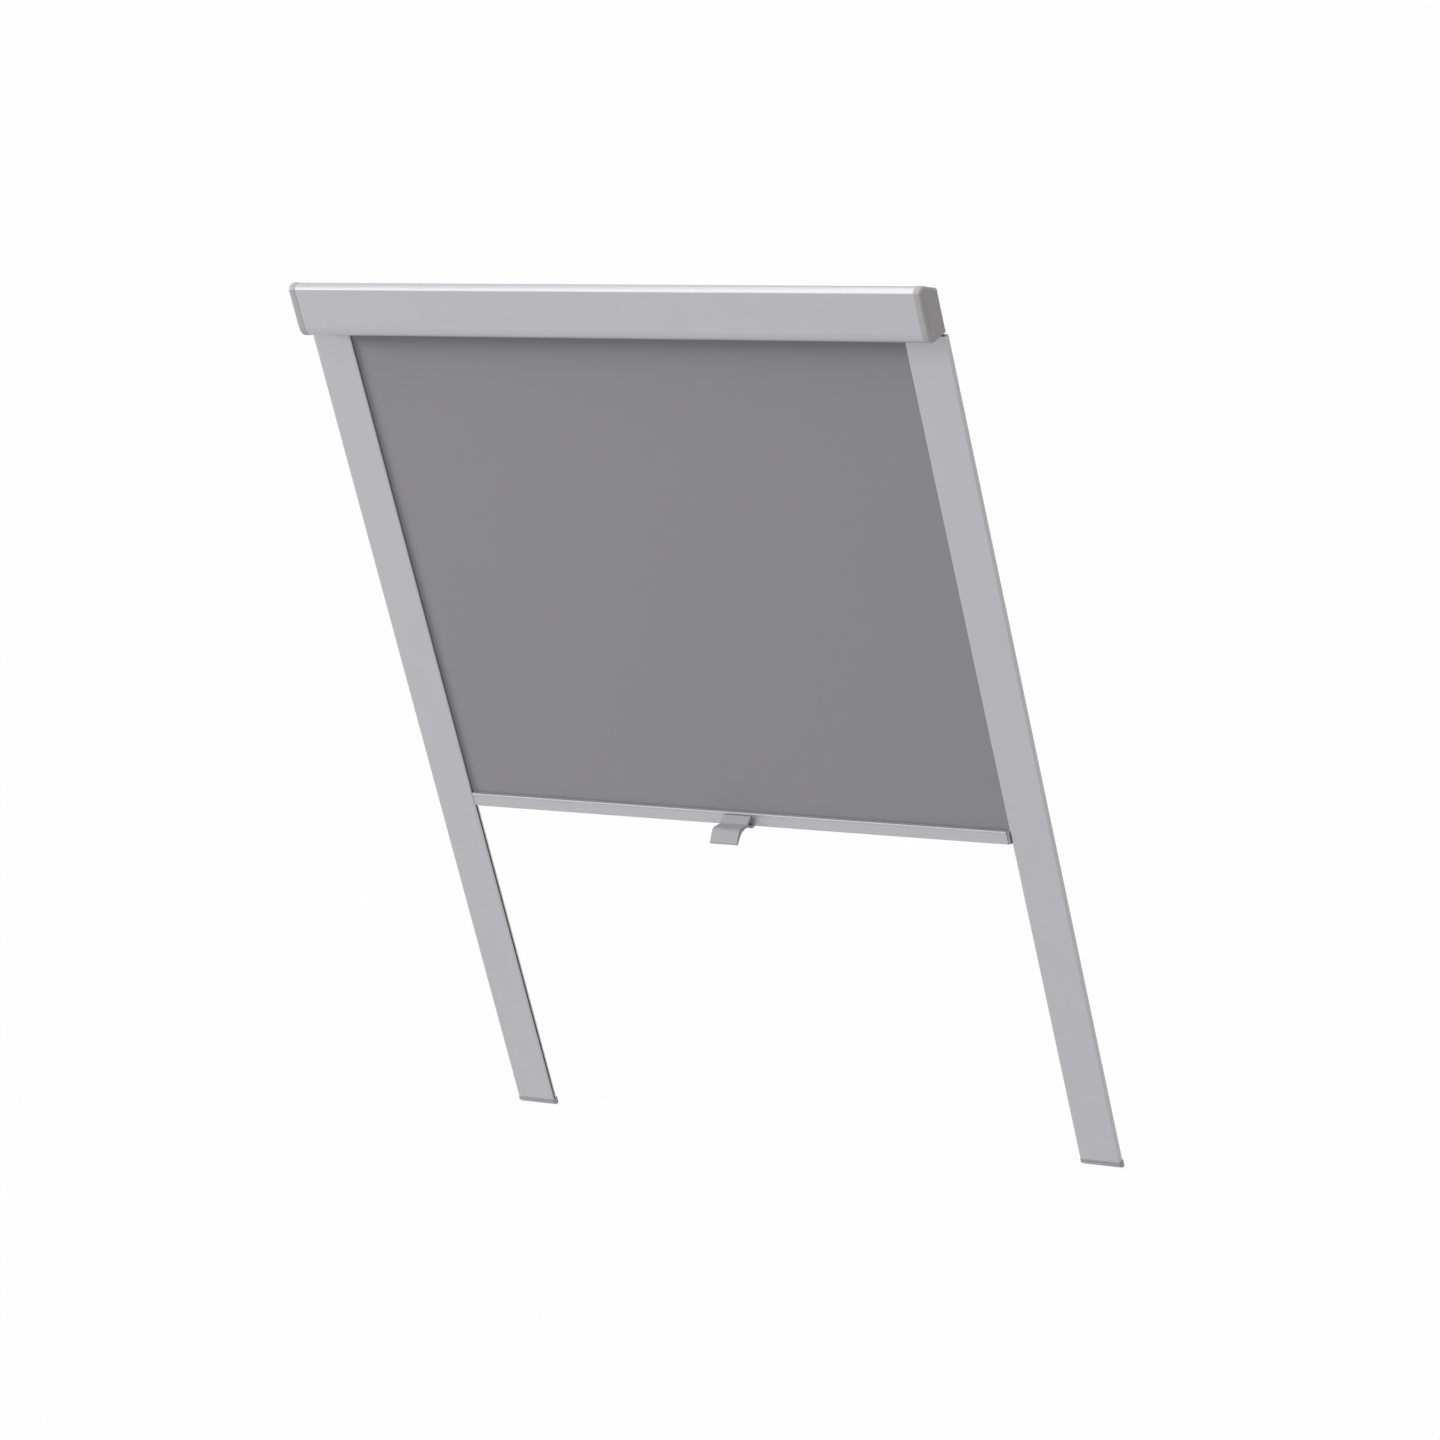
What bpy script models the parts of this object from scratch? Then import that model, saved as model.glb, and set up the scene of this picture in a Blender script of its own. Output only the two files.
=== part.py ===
"""Blackout roller blind for a roof window: headbox, spring roller, cloth, guide rails and sliding bar.

Metres, +X to the right, -Y towards the room, +Z up along the rails. The origin lies on the plane of
the blind's back, at mid width, level with the roller's axis. The bar stands a little above mid height.
"""

from math import acos, asin, copysign, cos, pi, radians, sin, sqrt, tan, tau

import bmesh
import bpy
from mathutils import Matrix, Vector

# Gap left between pieces that seat on each other, and the play of turning pieces
CLEARANCE = 0.0003
RUNNING_PLAY = 0.0003

# The whole blind
RAIL_SPAN = 0.612
RAIL_DROP = 0.767
BAR_HEIGHT_ABOVE_FOOT = 0.311

# Guide rail
RAIL_WIDTH = 0.038
RAIL_DEPTH = 0.0050
RAIL_WALL = 0.0010
RAIL_EDGE_RADIUS = 0.0012
RAIL_SLOT = 0.0018
RAIL_CHANNEL = 0.0150
TAPE_WIDTH = 0.024
TAPE_THICKNESS = 0.0008
TAPE_SETBACK = 0.015

# Rail cap and joiner
RAIL_CAP_HEIGHT = 0.0060
RAIL_CAP_PROUD = 0.0003
RAIL_CAP_CHAMFER = 0.0026
RAIL_CAP_BODY_PLUG = 0.012
RAIL_CAP_STOP = 0.0072
JOINER_DEPTH = 0.016
JOINER_PEG_HEIGHT = 0.0050
JOINER_PEG_WIDTH = 0.0030
JOINER_PEG_DEPTH = 0.0020

# Headbox shell
RAIL_BEYOND_HEADBOX = 0.0015
ROLL_ROOM = 0.0006
HEADBOX_WALL = 0.0012
CREASE_HEIGHT = 0.0436
CREASE_ANGLE = radians(28)
CROWN_RADIUS = 0.0065
TOP_SLOPE = radians(28)
FOOT_RADIUS = 0.010
CLOTH_EXIT = 0.0030
WINDOW_WIDTH = 0.026
WINDOW_HEIGHT = 0.020
WINDOW_INSET = 0.040

# End cap
CAP_RIM = 0.0075
CAP_PROUD = 0.0005
CAP_EDGE_RADIUS = 0.0034
CAP_BOSS_LENGTH = 0.010
CAP_BOSS_WALL = 0.0018
CAP_FLOOR = 0.0045
HUB_RADIUS = 0.0055
HUB_BORE_DEPTH = 0.0125

# Mounting plate
PLATE_THICKNESS = 0.0012
PLATE_TONGUE = 0.0034
PLATE_HOLE_RADIUS = 0.0022
PLATE_HOLE_SPACING = 0.0080

# Cloth
CLOTH_THICKNESS = 0.00028
CLOTH_EDGE_IN_RAIL = 0.012
HEM_RADIUS = 0.0016

# Roller
ROLLER_UP = 0.022
TUBE_RADIUS = 0.0070
TUBE_WALL = 0.0008
TUBE_SHORT = 0.0020
PLUG_LENGTH = 0.016
PLUG_FLANGE = 0.0020
PIN_RADIUS = 0.0025
PIN_IN_PLUG = 0.012

# Spring
ARBOR_RADIUS = 0.0028
ARBOR_SQUARE = 0.0050
ARBOR_TAIL = 0.006
COLLAR_RADIUS = 0.0056
COLLAR_LENGTH = 0.005
COLLAR_SETBACK = 0.006
SPRING_WIRE = 0.0012
SPRING_RADIUS = 0.0047
SPRING_PITCH = 0.0040
SPRING_TURNS = 24
ANCHOR_LENGTH = 0.014

# Bottom bar
BAR_HEIGHT = 0.0123
BAR_BACK = 0.0006
BAR_FRONT = 0.0074
BAR_WALL = 0.0010
BAR_FLOOR = 0.0020
BAR_WEB = 0.0011
BAR_BEAD_HEIGHT = 0.0015
BAR_BEAD_PROUD = 0.0005
BAR_GROOVE_DROP = 0.0037
BAR_GROOVE_OPENING = 0.0014
HOOK_GROOVE_SETBACK = 0.0033
HOOK_GROOVE_WIDTH = 0.0014
HOOK_GROOVE_DEPTH = 0.0010
BAR_END_GAP = 0.0006

# Bar end and brake
END_PLATE = 0.0020
END_PLUG = 0.014
NECK_THICKNESS = 0.0012
SHOE_HEIGHT = 0.0120
SHOE_ARM = 0.0014
SHOE_SETBACK = 0.0022
PAD_THICKNESS = 0.0040
PAD_RADIUS = 0.0008
LEAF_THICKNESS = 0.0003
LEAF_RISE = 0.0013

# Pull handle
HANDLE_WIDTH = 0.0272
HANDLE_MIDDLE = 0.0062
HANDLE_WALL = 0.0018
HANDLE_ROOT_WALL = 0.0013
HANDLE_SHOULDER = 0.0086
HANDLE_HOLLOW = 0.0063
HANDLE_BEND = 0.0206
HANDLE_SHELF = 0.0040
HANDLE_THROAT = 0.0046
HANDLE_REACH = 0.0294
HANDLE_DROP = 0.0134

# Facets
ARC_STEPS = 4
CROWN_STEPS = 8
FOOT_STEPS = 7
ROUND_SIDES = 32
COIL_POINTS = 9
SMOOTH_ANGLE = radians(40)

# Sizes that follow
RAIL_OUTER = RAIL_SPAN / 2
RAIL_INNER = RAIL_OUTER - RAIL_WIDTH
RAIL_BACK = TAPE_THICKNESS + CLEARANCE
RAIL_FRONT = RAIL_BACK + RAIL_DEPTH
CHANNEL_START = RAIL_INNER + RAIL_WALL
CHANNEL_END = CHANNEL_START + RAIL_CHANNEL
BODY_START = CHANNEL_END + RAIL_WALL
BODY_END = RAIL_OUTER - RAIL_WALL
CLOTH_DEPTH = RAIL_BACK + RAIL_DEPTH / 2
CLOTH_HALF = RAIL_INNER + CLOTH_EDGE_IN_RAIL

HEADBOX_FOOT = -ROLLER_UP
BLIND_FOOT = HEADBOX_FOOT - RAIL_DROP
RAIL_TOP = HEADBOX_FOOT - CAP_PROUD - CLEARANCE
RAIL_BOTTOM = BLIND_FOOT + RAIL_CAP_HEIGHT + CLEARANCE
BAR_FOOT = BLIND_FOOT + BAR_HEIGHT_ABOVE_FOOT
BAR_HALF = RAIL_INNER - BAR_END_GAP - END_PLATE - CLEARANCE
BAR_GROOVE_HEIGHT = BAR_HEIGHT - BAR_GROOVE_DROP
BAR_GROOVE_RADIUS = HEM_RADIUS + CLEARANCE
BAR_CHAMBER_TOP = BAR_GROOVE_HEIGHT - BAR_GROOVE_RADIUS - BAR_WEB
SHOE_START = CHANNEL_START + CLEARANCE
PAD_FACE = CHANNEL_END - CLEARANCE
LEAF_CREST = PAD_FACE - PAD_THICKNESS - CLEARANCE
SHOE_POCKET = LEAF_CREST - LEAF_RISE - LEAF_THICKNESS - CLEARANCE

SHELL_HALF = RAIL_OUTER - RAIL_BEYOND_HEADBOX - CAP_RIM - CLEARANCE
HUB_FACE = SHELL_HALF - CAP_BOSS_LENGTH
TUBE_HALF = CLOTH_HALF - TUBE_SHORT
TUBE_BORE = TUBE_RADIUS - TUBE_WALL
CLOTH_STORED = BAR_HEIGHT_ABOVE_FOOT + CLOTH_THICKNESS
CLOTH_SHOWN = HEADBOX_FOOT - BAR_FOOT - BAR_HEIGHT
ROLL_RADIUS = sqrt(TUBE_RADIUS**2 + CLOTH_THICKNESS * CLOTH_STORED / pi)
FULL_ROLL_RADIUS = sqrt(ROLL_RADIUS**2 + CLOTH_THICKNESS * CLOTH_SHOWN / pi)
AXIS_DEPTH = CLOTH_DEPTH + ROLL_RADIUS
HEADBOX_DEPTH = AXIS_DEPTH + FULL_ROLL_RADIUS + ROLL_ROOM + HEADBOX_WALL
COLLAR_END = TUBE_HALF - PLUG_LENGTH - COLLAR_SETBACK
SPRING_END = COLLAR_END - COLLAR_LENGTH - CLEARANCE
SPRING_START = SPRING_END - SPRING_TURNS * SPRING_PITCH - 2 * SPRING_WIRE
ANCHOR_END = SPRING_START - CLEARANCE

LEFT, RIGHT = -1, 1
SIDES = (("left", LEFT), ("right", RIGHT))

# Finishes: colour, roughness and metallic value
ALUMINIUM = ((0.50, 0.495, 0.525), 0.42, 0.75)
STEEL = ((0.56, 0.56, 0.58), 0.32, 1.0)
CAP_PLASTIC = ((0.35, 0.34, 0.33), 0.48, 0.0)
HANDLE_PLASTIC = ((0.43, 0.43, 0.46), 0.45, 0.0)
INNER_PLASTIC = ((0.16, 0.16, 0.17), 0.5, 0.0)
BLACKOUT_CLOTH = ((0.253, 0.247, 0.268), 0.85, 0.0)
FELT = ((0.05, 0.05, 0.055), 0.95, 0.0)
FOAM = ((0.75, 0.75, 0.73), 0.8, 0.0)


def clear_scene():
    for thing in list(bpy.data.objects):
        bpy.data.objects.remove(thing, do_unlink=True)


def frame_at(name, location):
    """An empty that carries the pieces of one assembly."""
    empty = bpy.data.objects.new(name, None)
    empty.location = location
    bpy.context.collection.objects.link(empty)
    return empty


def give_finish(thing, finish):
    colour, roughness, metallic = finish
    material = bpy.data.materials.new(thing.name)
    material.use_nodes = True
    shader = material.node_tree.nodes["Principled BSDF"]
    shader.inputs["Base Color"].default_value = (*colour, 1)
    shader.inputs["Roughness"].default_value = roughness
    shader.inputs["Metallic"].default_value = metallic
    thing.data.materials.append(material)


def piece(name, built, parent, finish):
    """Turn a bmesh into a named object, faces out, smooth over its round parts."""
    bmesh.ops.recalc_face_normals(built, faces=built.faces[:])
    mesh = bpy.data.meshes.new(name)
    built.to_mesh(mesh)
    built.free()
    mesh.shade_smooth()
    mesh.set_sharp_from_angle(angle=SMOOTH_ANGLE)
    thing = bpy.data.objects.new(name, mesh)
    thing.parent = parent
    bpy.context.collection.objects.link(thing)
    give_finish(thing, finish)
    return thing


def boolean(target, tool, operation):
    """Cut or join a second shape, which stays in the file as a guide."""
    tool.hide_render = True
    tool.display_type = "WIRE"
    change = target.modifiers.new(tool.name, "BOOLEAN")
    change.operation = operation
    change.object = tool
    return target


def rounded(corners):
    """Outline through corners (a, b, radius), each turned by an arc."""
    points = []
    for before, here, after in zip(corners[-1:] + corners[:-1], corners, corners[1:] + corners[:1]):
        corner, radius = Vector(here[:2]), here[2]
        if radius == 0:
            points.append(corner[:])
            continue
        back = (Vector(before[:2]) - corner).normalized()
        ahead = (Vector(after[:2]) - corner).normalized()
        half = back.angle(ahead) / 2
        centre = corner + (back + ahead).normalized() * radius / sin(half)
        spoke = corner + back * radius / tan(half) - centre
        turn = copysign(pi - 2 * half, ahead.cross(back))
        for step in range(ARC_STEPS + 1):
            points.append((centre + Matrix.Rotation(turn * step / ARC_STEPS, 2) @ spoke)[:])
    return points


def arc(centre, radius, start, end, steps):
    turns = [start + (end - start) * step / steps for step in range(steps + 1)]
    return [(centre[0] + radius * cos(turn), centre[1] + radius * sin(turn)) for turn in turns]


def rectangle(low_a, high_a, low_b, high_b, radius=0.0):
    corners = ((low_a, low_b), (high_a, low_b), (high_a, high_b), (low_a, high_b))
    return rounded([(*corner, radius) for corner in corners])


def along_x(depth, height, x):
    return (x, -depth, height)


def along_y(x, height, depth):
    return (x, -depth, height)


def along_z(x, depth, height):
    return (x, -depth, height)


def prism(outlines, to_space, span):
    """Sweep a flat outline, and the holes in it, along a straight line."""
    built = bmesh.new()
    edges = []
    for outline in outlines:
        ring = [built.verts.new(to_space(a, b, span[0])) for a, b in outline]
        edges += [built.edges.new(pair) for pair in zip(ring, ring[1:] + ring[:1])]
    bmesh.ops.triangle_fill(built, use_beauty=True, edges=edges)
    swept = bmesh.ops.extrude_face_region(built, geom=built.faces[:])["geom"]
    shift = Vector(to_space(0, 0, span[1])) - Vector(to_space(0, 0, span[0]))
    bmesh.ops.translate(built, verts=[v for v in swept if isinstance(v, bmesh.types.BMVert)], vec=shift)
    return built


def block(x_span, depth_span, height_span):
    return prism([rectangle(*x_span, *depth_span)], along_z, height_span)


def loft(sections):
    """Skin a row of outlines that have the same number of points."""
    built = bmesh.new()
    rings = [[built.verts.new(point) for point in section] for section in sections]
    for ring, following in zip(rings, rings[1:]):
        for index in range(len(ring)):
            last = index - 1
            built.faces.new((ring[last], ring[index], following[index], following[last]))
    built.faces.new(rings[0])
    built.faces.new(rings[-1])
    return built


def turned(profile, closed=True, sides=ROUND_SIDES):
    """Turn a profile of (x, radius) points about the X axis; an open one starts and ends on it."""
    built = bmesh.new()
    rings = []
    for x, radius in profile:
        if radius == 0:
            rings.append([built.verts.new((x, 0, 0))] * sides)
            continue
        angles = [tau * side / sides for side in range(sides)]
        rings.append([built.verts.new((x, radius * cos(a), radius * sin(a))) for a in angles])
    pairs = list(zip(rings, rings[1:]))
    if closed:
        pairs.append((rings[-1], rings[0]))
    for ring, following in pairs:
        for index in range(sides):
            corners = (ring[index - 1], ring[index], following[index], following[index - 1])
            built.faces.new(dict.fromkeys(corners))
    return built


def headbox_outline(inset):
    """The headbox's section, as (depth, height) from its back and foot, drawn in by the inset."""
    front = HEADBOX_DEPTH - inset
    crown_centre = (
        HEADBOX_DEPTH - CROWN_RADIUS * cos(CREASE_ANGLE),
        CREASE_HEIGHT - CROWN_RADIUS * sin(CREASE_ANGLE),
    )
    crown_radius = CROWN_RADIUS - inset
    crease = acos((front - crown_centre[0]) / crown_radius)
    crown = arc(crown_centre, crown_radius, crease, pi / 2 + TOP_SLOPE, CROWN_STEPS)
    foot_centre = (HEADBOX_DEPTH - FOOT_RADIUS, FOOT_RADIUS)
    foot = arc(foot_centre, FOOT_RADIUS - inset, -pi / 2, 0, FOOT_STEPS)
    brow_depth, brow_height = crown[-1]
    back_height = brow_height - (brow_depth - inset) * tan(TOP_SLOPE)
    return [(inset, inset)] + foot + crown + [(inset, back_height)]


def make_headbox_shell(headbox):
    """Extruded shell, open along a slot near its back where the cloth comes out."""
    outer, inner = headbox_outline(0), headbox_outline(HEADBOX_WALL)
    slot_back, slot_front = CLOTH_DEPTH - CLOTH_EXIT / 2, CLOTH_DEPTH + CLOTH_EXIT / 2
    outline = [(slot_front, 0)] + outer[1:] + [outer[0], (slot_back, 0), (slot_back, HEADBOX_WALL)]
    outline += inner[:1] + inner[:0:-1] + [(slot_front, HEADBOX_WALL)]
    built = prism([outline], along_x, (-SHELL_HALF, SHELL_HALF))
    shell = piece("headbox_shell", built, headbox, ALUMINIUM)
    for label, side in SIDES:
        window = block(
            sorted((side * (SHELL_HALF - WINDOW_INSET), side * (SHELL_HALF - WINDOW_INSET + WINDOW_WIDTH))),
            (-HEADBOX_WALL, 2 * HEADBOX_WALL),
            (ROLLER_UP - WINDOW_HEIGHT / 2, ROLLER_UP + WINDOW_HEIGHT / 2),
        )
        boolean(shell, piece(f"window_cutter_{label}", window, headbox, STEEL), "DIFFERENCE")


def make_mounting_plate(headbox, label, side):
    """Steel plate in the shell's back window, joggled so that its two tongues hold the shell."""
    flat = WINDOW_HEIGHT / 2 - HEADBOX_WALL - 2 * CLEARANCE
    inside = HEADBOX_WALL + CLEARANCE
    fold = flat + inside
    tip = fold + PLATE_TONGUE
    back = [(inside, tip), (inside, fold), (0, flat), (0, -flat), (inside, -fold), (inside, -tip)]
    cut = PLATE_THICKNESS * tan(pi / 8)
    face = [(depth + PLATE_THICKNESS, height) for depth, height in reversed(back)]
    for index, shift in ((1, cut), (2, cut), (3, -cut), (4, -cut)):
        face[index] = (face[index][0], face[index][1] + shift)
    outline = [(depth, ROLLER_UP + height) for depth, height in back + face]
    start = SHELL_HALF - WINDOW_INSET + CLEARANCE
    end = start + WINDOW_WIDTH - 2 * CLEARANCE
    built = prism([outline], along_x, (side * start, side * end))
    plate = piece(f"mounting_plate_{label}", built, headbox, STEEL)
    for place, step in (("upper", 1), ("lower", -1)):
        height = ROLLER_UP + step * PLATE_HOLE_SPACING / 2
        circle = arc((side * (start + end) / 2, height), PLATE_HOLE_RADIUS, 0, tau, ROUND_SIDES // 2)[:-1]
        hole = prism([circle], along_y, (-PLATE_THICKNESS, 2 * PLATE_THICKNESS))
        boolean(plate, piece(f"screw_hole_{label}_{place}", hole, headbox, STEEL), "DIFFERENCE")


def make_end_cap(headbox, label, side):
    """Moulded cap: a rim round the shell's end, a boss inside it and a hub for the roller's pin."""
    start = SHELL_HALF + CLEARANCE
    seat = HEADBOX_WALL + CLEARANCE
    pocket = seat + CAP_BOSS_WALL
    edge = start + CAP_RIM - CAP_EDGE_RADIUS
    rings = [
        (start + CAP_RIM - CAP_FLOOR, pocket),
        (HUB_FACE, pocket),
        (HUB_FACE, seat),
        (start, seat),
        (start, -CAP_PROUD),
    ]
    for step in range(ARC_STEPS + 1):
        turn = pi / 2 * step / ARC_STEPS
        rings.append((edge + CAP_EDGE_RADIUS * sin(turn), CAP_EDGE_RADIUS * (1 - cos(turn)) - CAP_PROUD))
    sections = [[along_x(*point, side * x) for point in headbox_outline(inset)] for x, inset in rings]
    cap = piece(f"end_cap_{label}", loft(sections), headbox, CAP_PLASTIC)

    hub_centre = (AXIS_DEPTH, ROLLER_UP)
    hub_end = start + CAP_RIM - CAP_FLOOR + CAP_FLOOR / 3
    hub_outline = arc(hub_centre, HUB_RADIUS, 0, tau, ROUND_SIDES)[:-1]
    hub = prism([hub_outline], along_x, (side * HUB_FACE, side * hub_end))
    boolean(cap, piece(f"hub_{label}", hub, headbox, CAP_PLASTIC), "UNION")
    if side == LEFT:
        bore = arc(hub_centre, PIN_RADIUS + RUNNING_PLAY, 0, tau, ROUND_SIDES)[:-1]
    else:
        half = ARBOR_SQUARE / 2 + CLEARANCE
        bore = rectangle(AXIS_DEPTH - half, AXIS_DEPTH + half, ROLLER_UP - half, ROLLER_UP + half)
    cutter = prism([bore], along_x, (side * (HUB_FACE - CAP_RIM), side * (HUB_FACE + HUB_BORE_DEPTH)))
    boolean(cap, piece(f"hub_bore_{label}", cutter, headbox, CAP_PLASTIC), "DIFFERENCE")

    x_span, depth_span = peg_spans(CLEARANCE)
    socket = block(
        sorted(side * x for x in x_span),
        depth_span,
        (-CAP_RIM, JOINER_PEG_HEIGHT - CAP_PROUD + CLEARANCE),
    )
    boolean(cap, piece(f"peg_socket_{label}", socket, headbox, CAP_PLASTIC), "DIFFERENCE")


def peg_spans(play):
    """Where the rail joiner's peg enters the end cap: its x span and its depth span."""
    start = SHELL_HALF + 3 * CLEARANCE
    middle = CLOTH_DEPTH
    half = JOINER_PEG_DEPTH / 2 + play
    return (start - play, start + JOINER_PEG_WIDTH + play), (middle - half, middle + half)


def make_rail(label, side):
    """Flat extrusion: a channel that opens towards the cloth, and a closed body beside it."""
    low, high = RAIL_BACK, RAIL_FRONT
    middle, half = CLOTH_DEPTH, RAIL_SLOT / 2
    soft, crisp = RAIL_WALL / 2, RAIL_WALL / 4
    corners = [
        (RAIL_INNER, low, soft),
        (RAIL_OUTER, low, soft),
        (RAIL_OUTER, high, RAIL_EDGE_RADIUS),
        (RAIL_INNER, high, RAIL_EDGE_RADIUS),
        (RAIL_INNER, middle + half, crisp),
        (CHANNEL_START, middle + half, crisp),
        (CHANNEL_START, high - RAIL_WALL, crisp),
        (CHANNEL_END, high - RAIL_WALL, crisp),
        (CHANNEL_END, low + RAIL_WALL, crisp),
        (CHANNEL_START, low + RAIL_WALL, crisp),
        (CHANNEL_START, middle - half, crisp),
        (RAIL_INNER, middle - half, crisp),
    ]
    body = rectangle(BODY_START, BODY_END, low + RAIL_WALL, high - RAIL_WALL, crisp)
    outlines = [[(side * x, depth) for x, depth in outline] for outline in (rounded(corners), body)]
    piece(f"guide_rail_{label}", prism(outlines, along_z, (RAIL_BOTTOM, RAIL_TOP)), None, ALUMINIUM)

    middle_x = (RAIL_INNER + RAIL_OUTER) / 2
    tape = block(
        sorted((side * (middle_x - TAPE_WIDTH / 2), side * (middle_x + TAPE_WIDTH / 2))),
        (0, TAPE_THICKNESS),
        (RAIL_BOTTOM + TAPE_SETBACK, RAIL_TOP - TAPE_SETBACK),
    )
    piece(f"rail_tape_{label}", tape, None, FOAM)


def chamber_plug(side, start, end, height_span):
    """A block that fills one hollow of the rail, with clearance all round."""
    return block(
        sorted((side * (start + CLEARANCE), side * (end - CLEARANCE))),
        (RAIL_BACK + RAIL_WALL + CLEARANCE, RAIL_FRONT - RAIL_WALL - CLEARANCE),
        height_span,
    )


def make_rail_cap(label, side):
    """Moulded foot of the rail, chamfered at its lower front edge, with a plug up each hollow."""
    levels = (
        (BLIND_FOOT, RAIL_CAP_CHAMFER),
        (BLIND_FOOT + RAIL_CAP_CHAMFER, 0),
        (BLIND_FOOT + RAIL_CAP_HEIGHT, 0),
    )
    inner, outer = RAIL_INNER - RAIL_CAP_PROUD, RAIL_OUTER + RAIL_CAP_PROUD
    sections = []
    for height, setback in levels:
        front = RAIL_FRONT + RAIL_CAP_PROUD - setback
        outline = rounded([
            (inner, 0, RAIL_WALL / 2),
            (outer, 0, RAIL_WALL / 2),
            (outer, front, RAIL_EDGE_RADIUS),
            (inner, front, RAIL_EDGE_RADIUS),
        ])
        sections.append([along_z(side * x, depth, height) for x, depth in outline])
    cap = piece(f"rail_cap_{label}", loft(sections), None, CAP_PLASTIC)
    root = BLIND_FOOT + RAIL_CAP_HEIGHT / 2
    plugs = (
        ("stop", CHANNEL_START, CHANNEL_END, RAIL_CAP_STOP),
        ("plug", BODY_START, BODY_END, RAIL_CAP_BODY_PLUG),
    )
    for name, start, end, rise in plugs:
        built = chamber_plug(side, start, end, (root, RAIL_BOTTOM + rise))
        boolean(cap, piece(f"rail_cap_{name}_{label}", built, None, CAP_PLASTIC), "UNION")


def make_rail_joiner(label, side):
    """Moulded plug in the rail's top, whose peg locates the rail under the end cap."""
    built = chamber_plug(side, BODY_START, BODY_END, (RAIL_TOP - JOINER_DEPTH, RAIL_TOP))
    joiner = piece(f"rail_joiner_{label}", built, None, CAP_PLASTIC)
    x_span, depth_span = peg_spans(0)
    peg = block(
        sorted(side * x for x in x_span),
        depth_span,
        (RAIL_TOP - JOINER_DEPTH / 2, HEADBOX_FOOT - CAP_PROUD + JOINER_PEG_HEIGHT),
    )
    boolean(joiner, piece(f"joiner_peg_{label}", peg, None, CAP_PLASTIC), "UNION")


def make_roller(axis):
    """Tube with a flanged plug in each end, and the cloth that is wound on it."""
    tube = [(-TUBE_HALF, TUBE_BORE), (TUBE_HALF, TUBE_BORE)]
    tube += [(TUBE_HALF, TUBE_RADIUS), (-TUBE_HALF, TUBE_RADIUS)]
    piece("roller_tube", turned(tube), axis, ALUMINIUM)

    wound = ROLL_RADIUS - CLOTH_THICKNESS / 2 - CLEARANCE
    core = TUBE_RADIUS + CLEARANCE
    roll = [(-CLOTH_HALF, core), (CLOTH_HALF, core), (CLOTH_HALF, wound), (-CLOTH_HALF, wound)]
    piece("cloth_roll", turned(roll), axis, BLACKOUT_CLOTH)

    inner_end = TUBE_HALF - PLUG_LENGTH
    rim = TUBE_HALF + CLEARANCE
    face = rim + PLUG_FLANGE
    body = TUBE_BORE - CLEARANCE
    bore = ARBOR_RADIUS + RUNNING_PLAY
    bearing = [(inner_end, bore), (face, bore), (face, TUBE_RADIUS)]
    bearing += [(rim, TUBE_RADIUS), (rim, body), (inner_end, body)]
    piece("bearing_plug", turned(bearing), axis, INNER_PLASTIC)

    bore = PIN_RADIUS + RUNNING_PLAY
    bore_end = TUBE_HALF - PIN_IN_PLUG - CLEARANCE
    idler = [(inner_end, 0), (inner_end, body), (rim, body), (rim, TUBE_RADIUS)]
    idler += [(face, TUBE_RADIUS), (face, bore), (bore_end, bore), (bore_end, 0)]
    piece("idler_plug", turned([(-x, radius) for x, radius in idler], closed=False), axis, INNER_PLASTIC)


def make_idler_pin(headbox_axis):
    """Steel pin held in the left cap's hub; the idler plug turns on it."""
    inner, outer = TUBE_HALF - PIN_IN_PLUG, HUB_FACE + HUB_BORE_DEPTH - CLEARANCE
    chamfer = PIN_RADIUS / 5
    profile = [
        (-inner, 0),
        (-inner, PIN_RADIUS - chamfer),
        (-inner - chamfer, PIN_RADIUS),
        (-outer + chamfer, PIN_RADIUS),
        (-outer, PIN_RADIUS - chamfer),
        (-outer, 0),
    ]
    piece("idler_pin", turned(profile, closed=False), headbox_axis, STEEL)


def make_spring_motor(headbox_axis, axis):
    """Still arbor with a square end in the right cap, and the spring and anchor that turn round it."""
    tip = ANCHOR_END - ANCHOR_LENGTH - ARBOR_TAIL
    collar_start = COLLAR_END - COLLAR_LENGTH
    shoulder = HUB_FACE - CLEARANCE
    profile = [
        (tip, 0),
        (tip, ARBOR_RADIUS),
        (collar_start, ARBOR_RADIUS),
        (collar_start, COLLAR_RADIUS),
        (COLLAR_END, COLLAR_RADIUS),
        (COLLAR_END, ARBOR_RADIUS),
        (shoulder, ARBOR_RADIUS),
        (shoulder, 0),
    ]
    arbor = piece("spring_arbor", turned(profile, closed=False), headbox_axis, STEEL)
    half = ARBOR_SQUARE / 2
    square = prism(
        [rectangle(-half, half, -half, half)],
        along_x,
        (shoulder - ARBOR_SQUARE, HUB_FACE + HUB_BORE_DEPTH - CLEARANCE),
    )
    boolean(arbor, piece("arbor_square", square, headbox_axis, STEEL), "UNION")

    body, bore = TUBE_BORE - CLEARANCE, ARBOR_RADIUS + RUNNING_PLAY
    start = ANCHOR_END - ANCHOR_LENGTH
    anchor = [(start, bore), (ANCHOR_END, bore), (ANCHOR_END, body), (start, body)]
    piece("spring_anchor", turned(anchor), axis, INNER_PLASTIC)
    make_torsion_spring(axis)


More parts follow.
